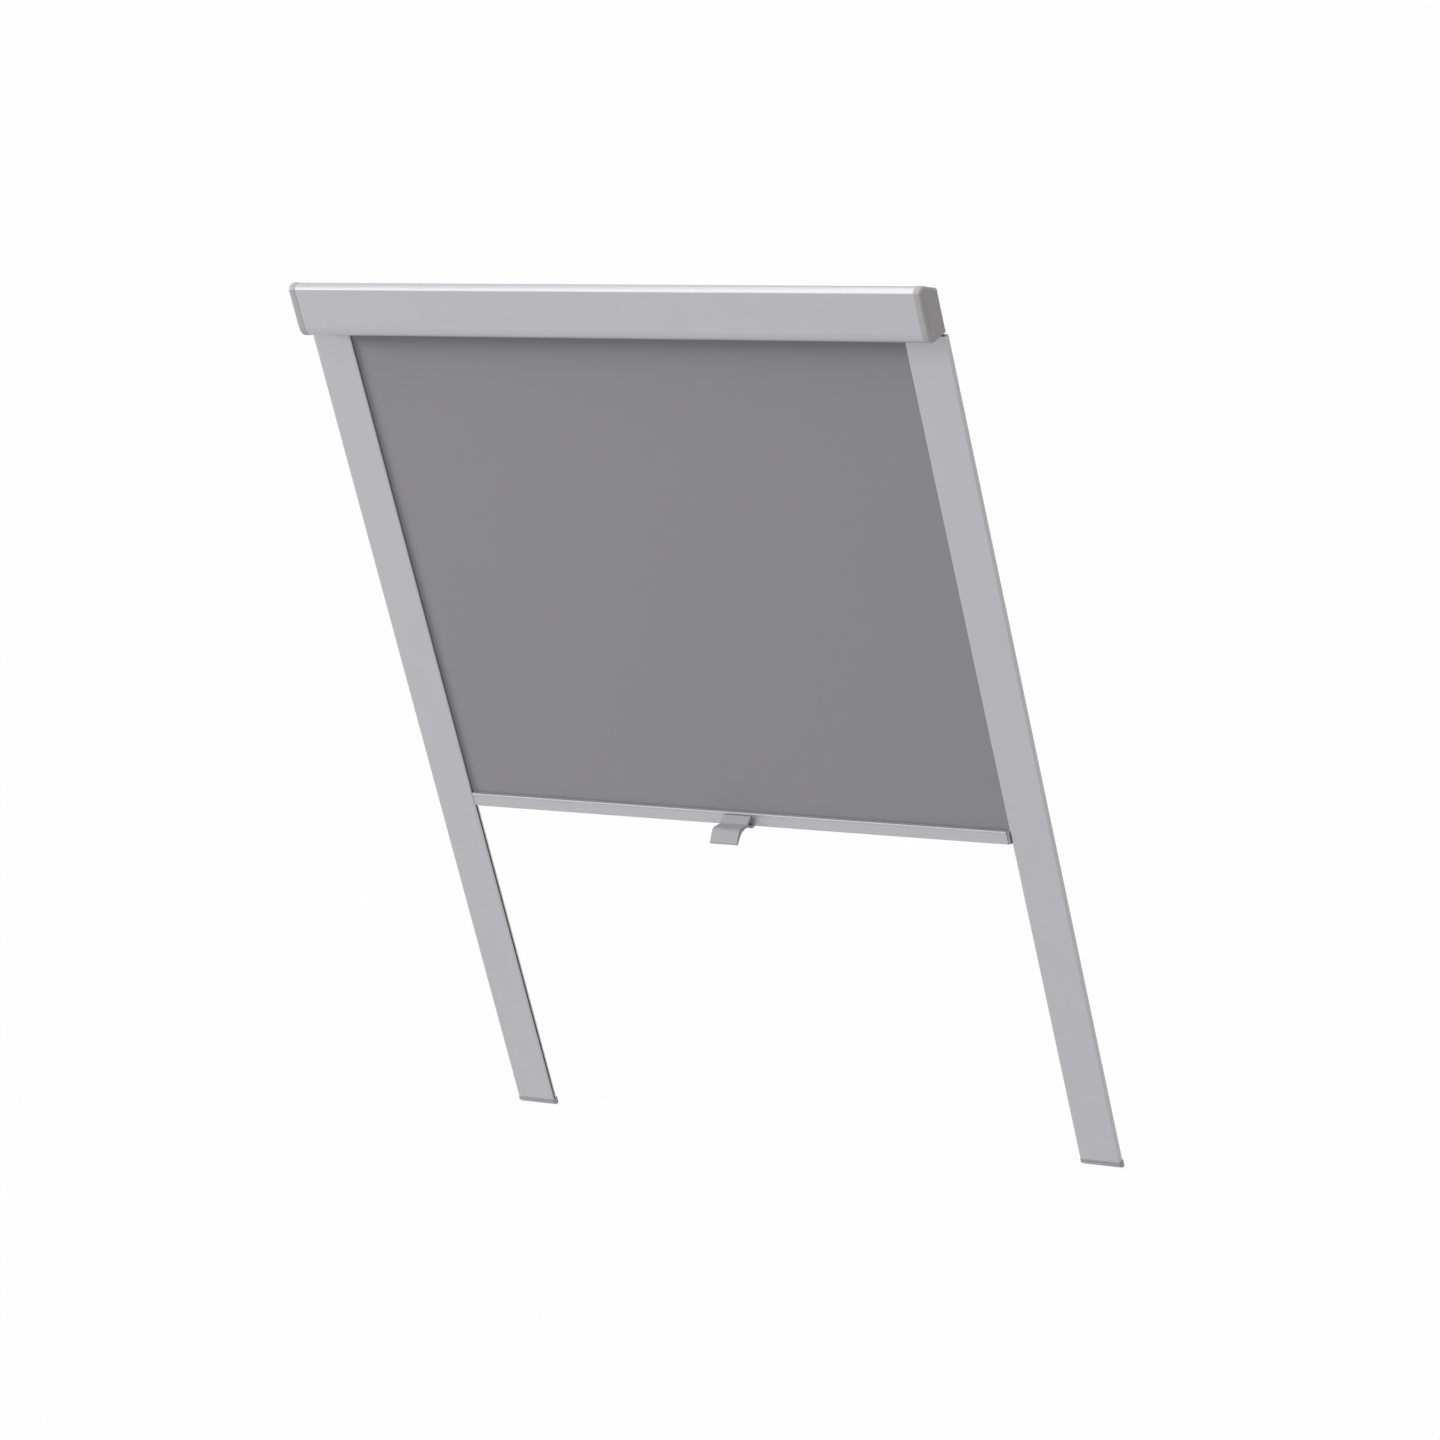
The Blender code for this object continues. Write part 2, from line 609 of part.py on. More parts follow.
def make_torsion_spring(axis):
    """One wire wound round the arbor, with a straight end at the collar and at the anchor."""
    count = SPRING_TURNS * COIL_POINTS
    points = [(SPRING_START, SPRING_RADIUS, 0)]
    for step in range(count + 1):
        turn = tau * step / COIL_POINTS
        x = SPRING_START + SPRING_WIRE + SPRING_TURNS * SPRING_PITCH * step / count
        points.append((x, SPRING_RADIUS * cos(turn), SPRING_RADIUS * sin(turn)))
    points.append((SPRING_END, SPRING_RADIUS, 0))
    curve = bpy.data.curves.new("torsion_spring", "CURVE")
    curve.dimensions = "3D"
    curve.bevel_depth = SPRING_WIRE / 2
    curve.bevel_resolution = 1
    curve.use_fill_caps = True
    spline = curve.splines.new("POLY")
    spline.points.add(len(points) - 1)
    for place, point in zip(spline.points, points):
        place.co = (*point, 1)
    spring = bpy.data.objects.new("torsion_spring", curve)
    spring.parent = axis
    bpy.context.collection.objects.link(spring)
    give_finish(spring, STEEL)
    gap = min(
        (Vector(one) - Vector(other)).length - SPRING_WIRE
        for index, one in enumerate(points)
        for other in points[index + COIL_POINTS // 2:]
    )
    print(f"torsion spring: least gap to itself {gap * 1000:.2f} mm")


def make_cloth(bar):
    """The flat sheet from the roll to the bar; its hem narrows to enter the bar's groove."""
    hem_half = BAR_HALF - CLOTH_THICKNESS
    hem = BAR_FOOT + BAR_GROOVE_HEIGHT + HEM_RADIUS + CLEARANCE
    above_bar = BAR_FOOT + BAR_HEIGHT + CLEARANCE
    outline = [
        (-hem_half, hem),
        (hem_half, hem),
        (hem_half, above_bar),
        (CLOTH_HALF, above_bar),
        (CLOTH_HALF, 0),
        (-CLOTH_HALF, 0),
        (-CLOTH_HALF, above_bar),
        (-hem_half, above_bar),
    ]
    span = (CLOTH_DEPTH - CLOTH_THICKNESS / 2, CLOTH_DEPTH + CLOTH_THICKNESS / 2)
    piece("cloth_sheet", prism([outline], along_y, span), None, BLACKOUT_CLOTH)

    circle = arc((CLOTH_DEPTH, BAR_GROOVE_HEIGHT), HEM_RADIUS, 0, tau, ROUND_SIDES // 2)[:-1]
    piece("hem_spline", prism([circle], along_x, (-hem_half, hem_half)), bar, INNER_PLASTIC)


def make_bottom_bar(bar):
    """Slim extrusion with a bead along its top, a groove for the hem and one below for the handle."""
    hook_end = BAR_FRONT - HOOK_GROOVE_SETBACK + HOOK_GROOVE_WIDTH / 2
    hook_start = hook_end - HOOK_GROOVE_WIDTH
    half = BAR_GROOVE_OPENING / 2
    bead_foot = BAR_HEIGHT - BAR_BEAD_HEIGHT
    bead_front = BAR_FRONT + BAR_BEAD_PROUD
    groove = (CLOTH_DEPTH, BAR_GROOVE_HEIGHT)
    mouth = asin(half / BAR_GROOVE_RADIUS)
    outline = rounded([
        (BAR_BACK, 0, BAR_WALL / 2),
        (hook_start, 0, 0),
        (hook_start, HOOK_GROOVE_DEPTH, 0),
        (hook_end, HOOK_GROOVE_DEPTH, 0),
        (hook_end, 0, 0),
        (BAR_FRONT, 0, BAR_WALL),
        (BAR_FRONT, bead_foot - BAR_BEAD_PROUD, 0),
        (bead_front, bead_foot, BAR_BEAD_PROUD / 2),
        (bead_front, BAR_HEIGHT, BAR_BEAD_HEIGHT / 2),
        (CLOTH_DEPTH + half, BAR_HEIGHT, 0),
    ])
    outline += arc(groove, BAR_GROOVE_RADIUS, pi / 2 - mouth, mouth - 3 * pi / 2, 3 * ARC_STEPS)
    outline += [(CLOTH_DEPTH - half, BAR_HEIGHT)]
    outline += arc((BAR_BACK + BAR_WALL / 2, BAR_HEIGHT - BAR_WALL / 2), BAR_WALL / 2, pi / 2, pi, ARC_STEPS)
    piece("bottom_bar", prism([outline, bar_chamber(0)], along_x, (-BAR_HALF, BAR_HALF)), bar, ALUMINIUM)


def bar_chamber(inset):
    """The bar's lower hollow, drawn in by the inset, as (depth, height)."""
    return rectangle(
        BAR_BACK + BAR_WALL + inset,
        BAR_FRONT - BAR_WALL - inset,
        BAR_FLOOR + inset,
        BAR_CHAMBER_TOP - inset,
        BAR_WALL / 4,
    )


def make_bar_end(bar, label, side):
    """Moulded end: a plug in the bar, a plate over its end and a shoe that runs in the rail's channel."""
    plate_start = BAR_HALF + CLEARANCE
    plate_end = plate_start + END_PLATE
    plate = rectangle(
        BAR_BACK + CLEARANCE, BAR_FRONT - CLEARANCE, CLEARANCE, BAR_HEIGHT - CLEARANCE, BAR_WALL
    )
    built = prism([plate], along_x, (side * plate_start, side * plate_end))
    end = piece(f"bar_end_{label}", built, bar, HANDLE_PLASTIC)

    plug_span = (side * (BAR_HALF - END_PLUG), side * (plate_end - END_PLATE / 2))
    plug = prism([bar_chamber(CLEARANCE)], along_x, plug_span)
    boolean(end, piece(f"bar_plug_{label}", plug, bar, HANDLE_PLASTIC), "UNION")

    half = NECK_THICKNESS / 2
    neck = block(
        sorted((side * (plate_end - END_PLATE / 2), side * (SHOE_START + SHOE_POCKET) / 2)),
        (CLOTH_DEPTH - half, CLOTH_DEPTH + half),
        (SHOE_ARM, SHOE_HEIGHT - SHOE_ARM),
    )
    boolean(end, piece(f"bar_neck_{label}", neck, bar, HANDLE_PLASTIC), "UNION")

    tip = CHANNEL_END - SHOE_SETBACK
    outline = [
        (SHOE_START, 0),
        (tip, 0),
        (tip, SHOE_ARM),
        (SHOE_POCKET, SHOE_ARM),
        (SHOE_POCKET, SHOE_HEIGHT - SHOE_ARM),
        (tip, SHOE_HEIGHT - SHOE_ARM),
        (tip, SHOE_HEIGHT),
        (SHOE_START, SHOE_HEIGHT),
    ]
    shoe = prism([[(side * x, height) for x, height in outline]], along_y, channel_span())
    boolean(end, piece(f"bar_shoe_{label}", shoe, bar, HANDLE_PLASTIC), "UNION")


def channel_span():
    """How much of the channel's depth the shoe and its pad take up."""
    return RAIL_BACK + RAIL_WALL + CLEARANCE, RAIL_FRONT - RAIL_WALL - CLEARANCE


def make_brake(bar, label, side):
    """Felt pad in the shoe's pocket, pressed on the channel's web by a bowed leaf spring."""
    low, high = SHOE_ARM + CLEARANCE, SHOE_HEIGHT - SHOE_ARM - CLEARANCE
    pad = rounded([
        (PAD_FACE - PAD_THICKNESS, low, 0),
        (PAD_FACE, low, PAD_RADIUS),
        (PAD_FACE, high, PAD_RADIUS),
        (PAD_FACE - PAD_THICKNESS, high, 0),
    ])
    built = prism([[(side * x, height) for x, height in pad]], along_y, channel_span())
    piece(f"brake_pad_{label}", built, bar, FELT)

    steps = 2 * ARC_STEPS
    spread = [2 * step / steps - 1 for step in range(steps + 1)]
    middle, half = (low + high) / 2, (high - low) / 2
    crest = [(LEAF_CREST - LEAF_RISE * share**2, middle + half * share) for share in spread]
    hollow = [(x - LEAF_THICKNESS, height) for x, height in reversed(crest)]
    built = prism([[(side * x, height) for x, height in crest + hollow]], along_y, channel_span())
    piece(f"leaf_spring_{label}", built, bar, STEEL)


def make_pull_handle(bar):
    """Moulded clip: a hollow triangular root on the bar's front, a shelf and a lip that turns down."""
    wall = HANDLE_WALL
    seat = CLEARANCE
    top = BAR_BEAD_HEIGHT + BAR_BEAD_PROUD + CLEARANCE
    under = BAR_HEIGHT + CLEARANCE
    sole = under + wall / 2
    barb_back = -HOOK_GROOVE_SETBACK - HOOK_GROOVE_WIDTH / 2 + CLEARANCE
    barb_front = barb_back + HOOK_GROOVE_WIDTH - 2 * CLEARANCE
    barb_top = under - HOOK_GROOVE_DEPTH + CLEARANCE
    outer = rounded([
        (seat, top, 0),
        (HANDLE_SHOULDER, HANDLE_HOLLOW, 2 * wall),
        (HANDLE_BEND, HANDLE_SHELF, 3 * wall),
        (HANDLE_REACH, HANDLE_DROP, wall / 4),
        (HANDLE_REACH - wall / 2, HANDLE_DROP + wall, wall / 4),
        (HANDLE_BEND - wall * 2 / 3, HANDLE_SHELF + HANDLE_THROAT, 5 * wall),
        (HANDLE_SHOULDER + wall / 2, HANDLE_HOLLOW + wall, wall / 2),
        (wall, sole, wall),
        (barb_back, sole, wall / 4),
        (barb_back, barb_top, wall / 8),
        (barb_front, barb_top, 0),
        (barb_front, under, 0),
        (seat, under, 0),
    ])
    web = HANDLE_ROOT_WALL
    inner = rounded([
        (seat + web, top + 2.5 * web, web / 4),
        (HANDLE_SHOULDER - 1.5 * web, HANDLE_HOLLOW + web, web / 4),
        (seat + web, under - web, web / 4),
    ])
    outlines = [[(BAR_FRONT + reach, BAR_HEIGHT - drop) for reach, drop in loop] for loop in (outer, inner)]
    span = (HANDLE_MIDDLE - HANDLE_WIDTH / 2, HANDLE_MIDDLE + HANDLE_WIDTH / 2)
    piece("pull_handle", prism(outlines, along_x, span), bar, HANDLE_PLASTIC)


clear_scene()
headbox_frame = frame_at("headbox", (0, 0, HEADBOX_FOOT))
still_axis = frame_at("still_axis", (0, -AXIS_DEPTH, 0))
roller_axis = frame_at("roller_axis", (0, -AXIS_DEPTH, 0))
bar_frame = frame_at("bar_slide", (0, 0, BAR_FOOT))

make_headbox_shell(headbox_frame)
make_roller(roller_axis)
make_idler_pin(still_axis)
make_spring_motor(still_axis, roller_axis)
make_cloth(bar_frame)
make_bottom_bar(bar_frame)
make_pull_handle(bar_frame)
for side_name, side_sign in SIDES:
    make_mounting_plate(headbox_frame, side_name, side_sign)
    make_end_cap(headbox_frame, side_name, side_sign)
    make_rail(side_name, side_sign)
    make_rail_cap(side_name, side_sign)
    make_rail_joiner(side_name, side_sign)
    make_bar_end(bar_frame, side_name, side_sign)
    make_brake(bar_frame, side_name, side_sign)
bpy.context.view_layer.update()
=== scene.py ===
"""Looks of a blackout roller blind for a roof window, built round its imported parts.

Metres, +X to the right, -Y towards the room, +Z up along the guide rails. The origin lies on the
plane of the blind's back, at mid width, level with the roller's axis. Depths are counted towards
the room.
"""

from math import acos, asin, copysign, cos, pi, radians, sin, tan, tau

import bmesh
import bpy
from mathutils import Matrix, Vector


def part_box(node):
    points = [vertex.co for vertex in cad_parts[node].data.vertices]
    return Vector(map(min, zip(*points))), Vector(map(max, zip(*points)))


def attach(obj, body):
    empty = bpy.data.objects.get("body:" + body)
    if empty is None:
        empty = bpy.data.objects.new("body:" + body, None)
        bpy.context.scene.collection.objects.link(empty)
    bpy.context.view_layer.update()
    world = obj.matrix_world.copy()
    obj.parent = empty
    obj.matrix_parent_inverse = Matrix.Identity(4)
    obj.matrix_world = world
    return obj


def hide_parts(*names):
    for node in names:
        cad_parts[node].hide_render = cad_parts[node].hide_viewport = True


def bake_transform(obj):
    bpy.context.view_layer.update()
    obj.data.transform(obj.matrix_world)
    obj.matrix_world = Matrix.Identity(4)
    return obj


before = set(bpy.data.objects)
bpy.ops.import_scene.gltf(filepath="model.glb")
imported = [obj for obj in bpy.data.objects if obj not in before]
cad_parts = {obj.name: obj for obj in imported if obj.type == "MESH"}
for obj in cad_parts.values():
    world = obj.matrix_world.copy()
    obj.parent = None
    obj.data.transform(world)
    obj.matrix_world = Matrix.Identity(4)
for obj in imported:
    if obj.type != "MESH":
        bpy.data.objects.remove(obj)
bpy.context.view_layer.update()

# Headbox shell: one aluminium extrusion, satin anodised and cut to length. Its rounded top edge
# meets the flat face in a crisp crease, the cloth leaves between two rounded lips along its foot,
# and an opening near each end of its back takes a mounting plate.
ANODISED_DARK = (0.462, 0.458, 0.487, 1)
ANODISED_LIGHT = (0.512, 0.507, 0.537, 1)
METAL_SHARE = 0.6
SATIN_ROUGHNESS = 0.34
SATIN_SPREAD = 0.12
DIE_LINE_SCALE = 2600
DIE_LINE_STRETCH = 0.004
DIE_LINE_DEPTH = 0.000012
DIE_LINE_SHARE = 0.6
MOTTLE_SCALE = 45
FIT = 0.0003
SHELL_WALL = 0.0012
CREASE_HEIGHT = 0.0436
CREASE_ANGLE = radians(28)
CROWN_RADIUS = 0.0065
CROWN_STEPS = 14
TOP_SLOPE = radians(28)
FOOT_SLOPE_RADIUS = 0.0145
FOOT_EDGE_RADIUS = 0.0055
FOOT_TURN = radians(30)
FOOT_STEPS = 8
CLOTH_EXIT = 0.0030
PLATE_OPENING_HEIGHT = 0.020
ARC_STEPS = 6
SHARP_ANGLE = radians(25)
SIDES = {"left": -1, "right": 1}
shell_low, shell_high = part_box("headbox_shell")
cloth_low, cloth_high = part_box("cloth_sheet")
headbox_foot = shell_low.z
headbox_depth = -shell_low.y
cloth_depth = -(cloth_low.y + cloth_high.y) / 2


class Value:
    """A number or colour that varies over a surface; sums on it add Math nodes to its tree."""

    def __init__(self, nodes, socket):
        self.nodes = nodes
        self.socket = socket

    def maths(self, operation, *values):
        settings = {"operation": operation}
        return self.nodes.node("ShaderNodeMath", settings, dict(enumerate(values)))

    def __add__(self, other):
        return self.maths("ADD", self, other)

    def __mul__(self, other):
        return self.maths("MULTIPLY", self, other)

    def __rsub__(self, other):
        return self.maths("SUBTRACT", other, self)

    def __gt__(self, other):
        return self.maths("GREATER_THAN", self, other)

    def __abs__(self):
        return self.maths("ABSOLUTE", self)

    __radd__ = __add__
    __rmul__ = __mul__

    def sine(self):
        return self.maths("SINE", self)

    def larger(self, other):
        return self.maths("MAXIMUM", self, other)


class Nodes:
    """The node tree of a material or of the world."""

    def __init__(self, tree):
        self.tree = tree

    def feed(self, socket, value):
        if isinstance(value, Value):
            self.tree.links.new(value.socket, socket)
        else:
            socket.default_value = value

    def node(self, kind, settings, sockets, output=0):
        """Any node: its settings come first, then what goes into its sockets."""
        node = self.tree.nodes.new(kind)
        for label, setting in settings.items():
            setattr(node, label, setting)
        for label, value in sockets.items():
            self.feed(node.inputs[label], value)
        return Value(self, node.outputs[output])


class Finish(Nodes):
    """The material of one kind of surface, with a Principled shader at its end."""

    def __init__(self, name, **shader_values):
        self.material = bpy.data.materials.new(name)
        self.material.use_nodes = True
        super().__init__(self.material.node_tree)
        self.shader = self.tree.nodes["Principled BSDF"]
        for label, value in shader_values.items():
            title = label.replace("_", " ").title().replace("Ior", "IOR")
            self.feed(self.shader.inputs[title], value)

    def place(self, along=(1, 1, 1)):
        """Where a point lies on the piece, in metres, stretched by these factors."""
        spot = self.node("ShaderNodeTexCoord", {}, {}, "Object")
        return self.node("ShaderNodeVectorMath", {"operation": "MULTIPLY"}, {0: spot, 1: along})

    def split(self, place):
        """The three parts of a place."""
        return [self.node("ShaderNodeSeparateXYZ", {}, {"Vector": place}, axis) for axis in "XYZ"]

    def noise(self, place, scale, detail=2.0, roughness=0.5):
        sockets = {"Vector": place, "Scale": scale, "Detail": detail, "Roughness": roughness}
        return self.node("ShaderNodeTexNoise", {}, sockets, "Fac")

    def blend(self, share, first, second):
        sockets = {0: share, 6: first, 7: second}
        return self.node("ShaderNodeMix", {"data_type": "RGBA"}, sockets, 2)

    def paint(self, colour, relief, depth, strength, roughness=None):
        """Feed the shader's colour, its relief through a Bump node, and its roughness."""
        self.feed(self.shader.inputs["Base Color"], colour)
        sockets = {"Height": relief, "Strength": strength, "Distance": depth}
        self.feed(self.shader.inputs["Normal"], self.node("ShaderNodeBump", {}, sockets))
        if roughness is not None:
            self.feed(self.shader.inputs["Roughness"], roughness)

    def dress(self, *nodes):
        """Give this material to CAD nodes that keep their shape."""
        for name in nodes:
            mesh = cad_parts[name].data
            mesh.materials.clear()
            mesh.materials.append(self.material)


def anodised(name, grain):
    """Satin anodised extrusion: fine die lines along the grain, under a mottled oxide skin."""
    finish = Finish(name, metallic=METAL_SHARE)
    lines = finish.noise(finish.place(grain), DIE_LINE_SCALE, detail=3.0, roughness=0.6)
    mottle = finish.noise(finish.place(), MOTTLE_SCALE, detail=3.0, roughness=0.55)
    shade = DIE_LINE_SHARE * lines + (1 - DIE_LINE_SHARE) * mottle
    finish.paint(
        colour=finish.blend(shade, ANODISED_DARK, ANODISED_LIGHT),
        relief=lines,
        depth=DIE_LINE_DEPTH,
        strength=0.5,
        roughness=SATIN_ROUGHNESS + SATIN_SPREAD * shade,
    )
    return finish


def arc(centre, radius, start, end, steps):
    turns = [start + (end - start) * step / steps for step in range(steps + 1)]
    return [(centre[0] + radius * cos(turn), centre[1] + radius * sin(turn)) for turn in turns]


def rounded(corners):
    """Outline through corners (a, b, radius), each turned by an arc."""
    points = []
    for before, here, after in zip(corners[-1:] + corners[:-1], corners, corners[1:] + corners[:1]):
        corner, radius = Vector(here[:2]), here[2]
        if radius == 0:
            points.append(corner[:])
            continue
        back = (Vector(before[:2]) - corner).normalized()
        ahead = (Vector(after[:2]) - corner).normalized()
        half = back.angle(ahead) / 2
        centre = corner + (back + ahead).normalized() * radius / sin(half)
        spoke = corner + back * radius / tan(half) - centre
        turn = copysign(pi - 2 * half, ahead.cross(back))
        for step in range(ARC_STEPS + 1):
            points.append((centre + Matrix.Rotation(turn * step / ARC_STEPS, 2) @ spoke)[:])
    return points


def rectangle(low_a, high_a, low_b, high_b, radius=0.0):
    corners = ((low_a, low_b), (high_a, low_b), (high_a, high_b), (low_a, high_b))
    return rounded([(*corner, radius) for corner in corners])


def along_x(depth, height, x):
    """A point of an outline that is swept along the blind's width."""
    return (x, -depth, height)


def along_z(x, depth, height):
    """A point of an outline that is swept upwards."""
    return (x, -depth, height)


def extruded(outlines, place, start, end):
    """Sweep a flat outline, and the holes in it, along a straight line."""
    built = bmesh.new()
    edges = []
    for outline in outlines:
        ring = [built.verts.new(place(a, b, start)) for a, b in outline]
        edges += [built.edges.new(pair) for pair in zip(ring, ring[1:] + ring[:1])]
    bmesh.ops.triangle_fill(built, use_beauty=True, edges=edges)
    swept = bmesh.ops.extrude_face_region(built, geom=built.faces[:])["geom"]
    far_end = [item for item in swept if isinstance(item, bmesh.types.BMVert)]
    shift = Vector(place(0, 0, end)) - Vector(place(0, 0, start))
    bmesh.ops.translate(built, verts=far_end, vec=shift)
    bmesh.ops.recalc_face_normals(built, faces=built.faces[:])
    return built


def block(x_span, depth_span, height_span):
    return extruded([rectangle(*sorted(x_span), *depth_span)], along_z, *height_span)


def combined(base, *changes):
    """Join closed meshes to a base, or cut them from it: a change is an operation and a mesh."""
    things = []
    for built in (base, *(tool for operation, tool in changes)):
        mesh = bpy.data.meshes.new("working")
        built.to_mesh(mesh)
        built.free()
        things.append(bpy.data.objects.new("working", mesh))
        bpy.context.collection.objects.link(things[-1])
    for (operation, tool), thing in zip(changes, things[1:]):
        change = things[0].modifiers.new("change", "BOOLEAN")
        change.operation = operation
        change.object = thing
    bpy.context.view_layer.update()
    result = bmesh.new()
    result.from_object(things[0], bpy.context.evaluated_depsgraph_get())
    for thing in things:
        bpy.data.objects.remove(thing, do_unlink=True)
    return result


def piece(name, built, body, finish, node):
    """Make a mesh a shown piece that rides on a body and stands for this CAD node."""
    mesh = bpy.data.meshes.new(name)
    built.to_mesh(mesh)
    built.free()
    mesh.shade_smooth()
    mesh.set_sharp_from_angle(angle=SHARP_ANGLE)
    mesh.materials.append(finish.material)
    thing = bpy.data.objects.new(name, mesh)
    bpy.context.collection.objects.link(thing)
    normals = thing.modifiers.new("even_shading", "WEIGHTED_NORMAL")
    normals.keep_sharp = True
    if body:
        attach(thing, body)
    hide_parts(node)
    return thing


def headbox_outline(inset):
    """The headbox's section as (depth, height), drawn in by the inset."""
    front = headbox_depth - inset
    crown_centre = (
        headbox_depth - CROWN_RADIUS * cos(CREASE_ANGLE),
        headbox_foot + CREASE_HEIGHT - CROWN_RADIUS * sin(CREASE_ANGLE),
    )
    crown_radius = CROWN_RADIUS - inset
    crease = acos((front - crown_centre[0]) / crown_radius)
    crown = arc(crown_centre, crown_radius, crease, pi / 2 + TOP_SLOPE, CROWN_STEPS)
    tighter = FOOT_SLOPE_RADIUS - FOOT_EDGE_RADIUS
    edge_centre = (
        headbox_depth - FOOT_SLOPE_RADIUS + tighter * cos(FOOT_TURN),
        headbox_foot + FOOT_EDGE_RADIUS,
    )
    slope_centre = (
        headbox_depth - FOOT_SLOPE_RADIUS,
        edge_centre[1] + tighter * sin(FOOT_TURN),
    )
    foot = arc(edge_centre, FOOT_EDGE_RADIUS - inset, -pi / 2, -FOOT_TURN, FOOT_STEPS)[:-1]
    foot += arc(slope_centre, FOOT_SLOPE_RADIUS - inset, -FOOT_TURN, 0, FOOT_STEPS)
    brow_depth, brow_height = crown[-1]
    back_height = brow_height - (brow_depth - inset) * tan(TOP_SLOPE)
    return [(inset, headbox_foot + inset)] + foot + crown + [(inset, back_height)]


anodised_across = anodised("anodised_aluminium_across", (DIE_LINE_STRETCH, 1, 1))
outer, inner = headbox_outline(0), headbox_outline(SHELL_WALL)
lip = SHELL_WALL / 2
back_centre = (cloth_depth - CLOTH_EXIT / 2 - lip, headbox_foot + lip)
front_centre = (cloth_depth + CLOTH_EXIT / 2 + lip, headbox_foot + lip)
back_lip = arc(back_centre, lip, -pi / 2, pi / 2, 2 * ARC_STEPS)
front_lip = arc(front_centre, lip, pi / 2, 3 * pi / 2, 2 * ARC_STEPS)
shell_outline = front_lip + outer[1:] + outer[:1] + back_lip + inner[:1] + inner[:0:-1]
openings = []
for side_name in SIDES:
    plate_low, plate_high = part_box(f"mounting_plate_{side_name}")
    opening = block(
        (plate_low.x - FIT, plate_high.x + FIT),
        (-SHELL_WALL, 2 * SHELL_WALL),
        (-PLATE_OPENING_HEIGHT / 2, PLATE_OPENING_HEIGHT / 2),
    )
    openings.append(("DIFFERENCE", opening))
shell = extruded([shell_outline], along_x, shell_low.x, shell_high.x)
shell = combined(shell, *openings)
piece(
    "shell_extrusion", shell, "housing", anodised_across, "headbox_shell"
)

# End caps: moulded in warm grey plastic with a fine spark-eroded grain. A rim covers the shell's
# cut end, a boss fits inside it, and a hub carries the roller's pin or the spring's square arbor.
CAP_DARK = (0.395, 0.379, 0.385, 1)
CAP_LIGHT = (0.455, 0.437, 0.444, 1)
CAP_ROUGHNESS = 0.42
PLASTIC_IOR = 1.48
GRAIN_SIZE = 0.00035
GRAIN_DEPTH = 0.00002
GRAIN_SHARE = 0.35
GRAIN_ROUGHNESS = 0.1
FLOW_SCALE = 60
SEAM = 0.00005
CAP_RIM = 0.0075
CAP_PROUD = 0.0002
CAP_EDGE_RADIUS = 0.0034
CAP_EDGE_STEPS = 8
CAP_BOSS_WALL = 0.0018
CAP_BOSS_LENGTH = 0.010
CAP_FLOOR = 0.0045
HUB_RADIUS = 0.0055
HUB_BORE_DEPTH = 0.0125
ARBOR_SQUARE = 0.0050
PEG_HEIGHT = 0.0050
PEG_WIDTH = 0.0030
PEG_DEPTH = 0.0020
CIRCLE_STEPS = 48
pin_low, pin_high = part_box("idler_pin")
axis_depth = -(pin_low.y + pin_high.y) / 2


def moulded(name, dark, light, roughness):
    """Moulded plastic with the fine grain that the tool's eroded face leaves on it."""
    finish = Finish(name, ior=PLASTIC_IOR)
    place = finish.place()
    pits = finish.noise(place, 1 / GRAIN_SIZE, roughness=0.6)
    flow = finish.noise(place, FLOW_SCALE)
    finish.paint(
        colour=finish.blend(GRAIN_SHARE * pits + (1 - GRAIN_SHARE) * flow, dark, light),
        relief=pits,
        depth=GRAIN_DEPTH,
        strength=0.6,
        roughness=roughness + GRAIN_ROUGHNESS * pits,
    )
    return finish


def circle(centre, radius):
    return arc(centre, radius, 0, tau, CIRCLE_STEPS)[:-1]


def lofted(sections):
    """Skin a row of outlines that have the same number of points."""
    built = bmesh.new()
    rings = [[built.verts.new(point) for point in section] for section in sections]
    for ring, following in zip(rings, rings[1:]):
        for index in range(len(ring)):
            corners = (ring[index - 1], ring[index], following[index], following[index - 1])
            built.faces.new(corners)
    built.faces.new(rings[0])
    built.faces.new(rings[-1])
    bmesh.ops.recalc_face_normals(built, faces=built.faces[:])
    return built


cap_plastic = moulded("cap_plastic", CAP_DARK, CAP_LIGHT, CAP_ROUGHNESS)
cap_start = shell_high.x + SEAM
boss_end = shell_high.x - CAP_BOSS_LENGTH
rim_end = shell_high.x + FIT + CAP_RIM
bend_start = rim_end - CAP_EDGE_RADIUS
seat = SHELL_WALL + FIT
pocket = seat + CAP_BOSS_WALL
rings = [(rim_end - CAP_FLOOR, pocket), (boss_end, pocket), (boss_end, seat), (cap_start, seat)]
quarter = [pi / 2 * step / CAP_EDGE_STEPS for step in range(CAP_EDGE_STEPS + 1)]
rings += [(cap_start + CAP_PROUD * (1 - cos(turn)), -CAP_PROUD * sin(turn)) for turn in quarter]
for turn in quarter:
    inset = CAP_EDGE_RADIUS * (1 - cos(turn)) - CAP_PROUD
    rings.append((bend_start + CAP_EDGE_RADIUS * sin(turn), inset))
arbor_half = ARBOR_SQUARE / 2 + FIT
bore_outlines = {
    "left": circle((axis_depth, 0), (pin_high.z - pin_low.z) / 2 + FIT),
    "right": rectangle(axis_depth - arbor_half, axis_depth + arbor_half, -arbor_half, arbor_half),
}
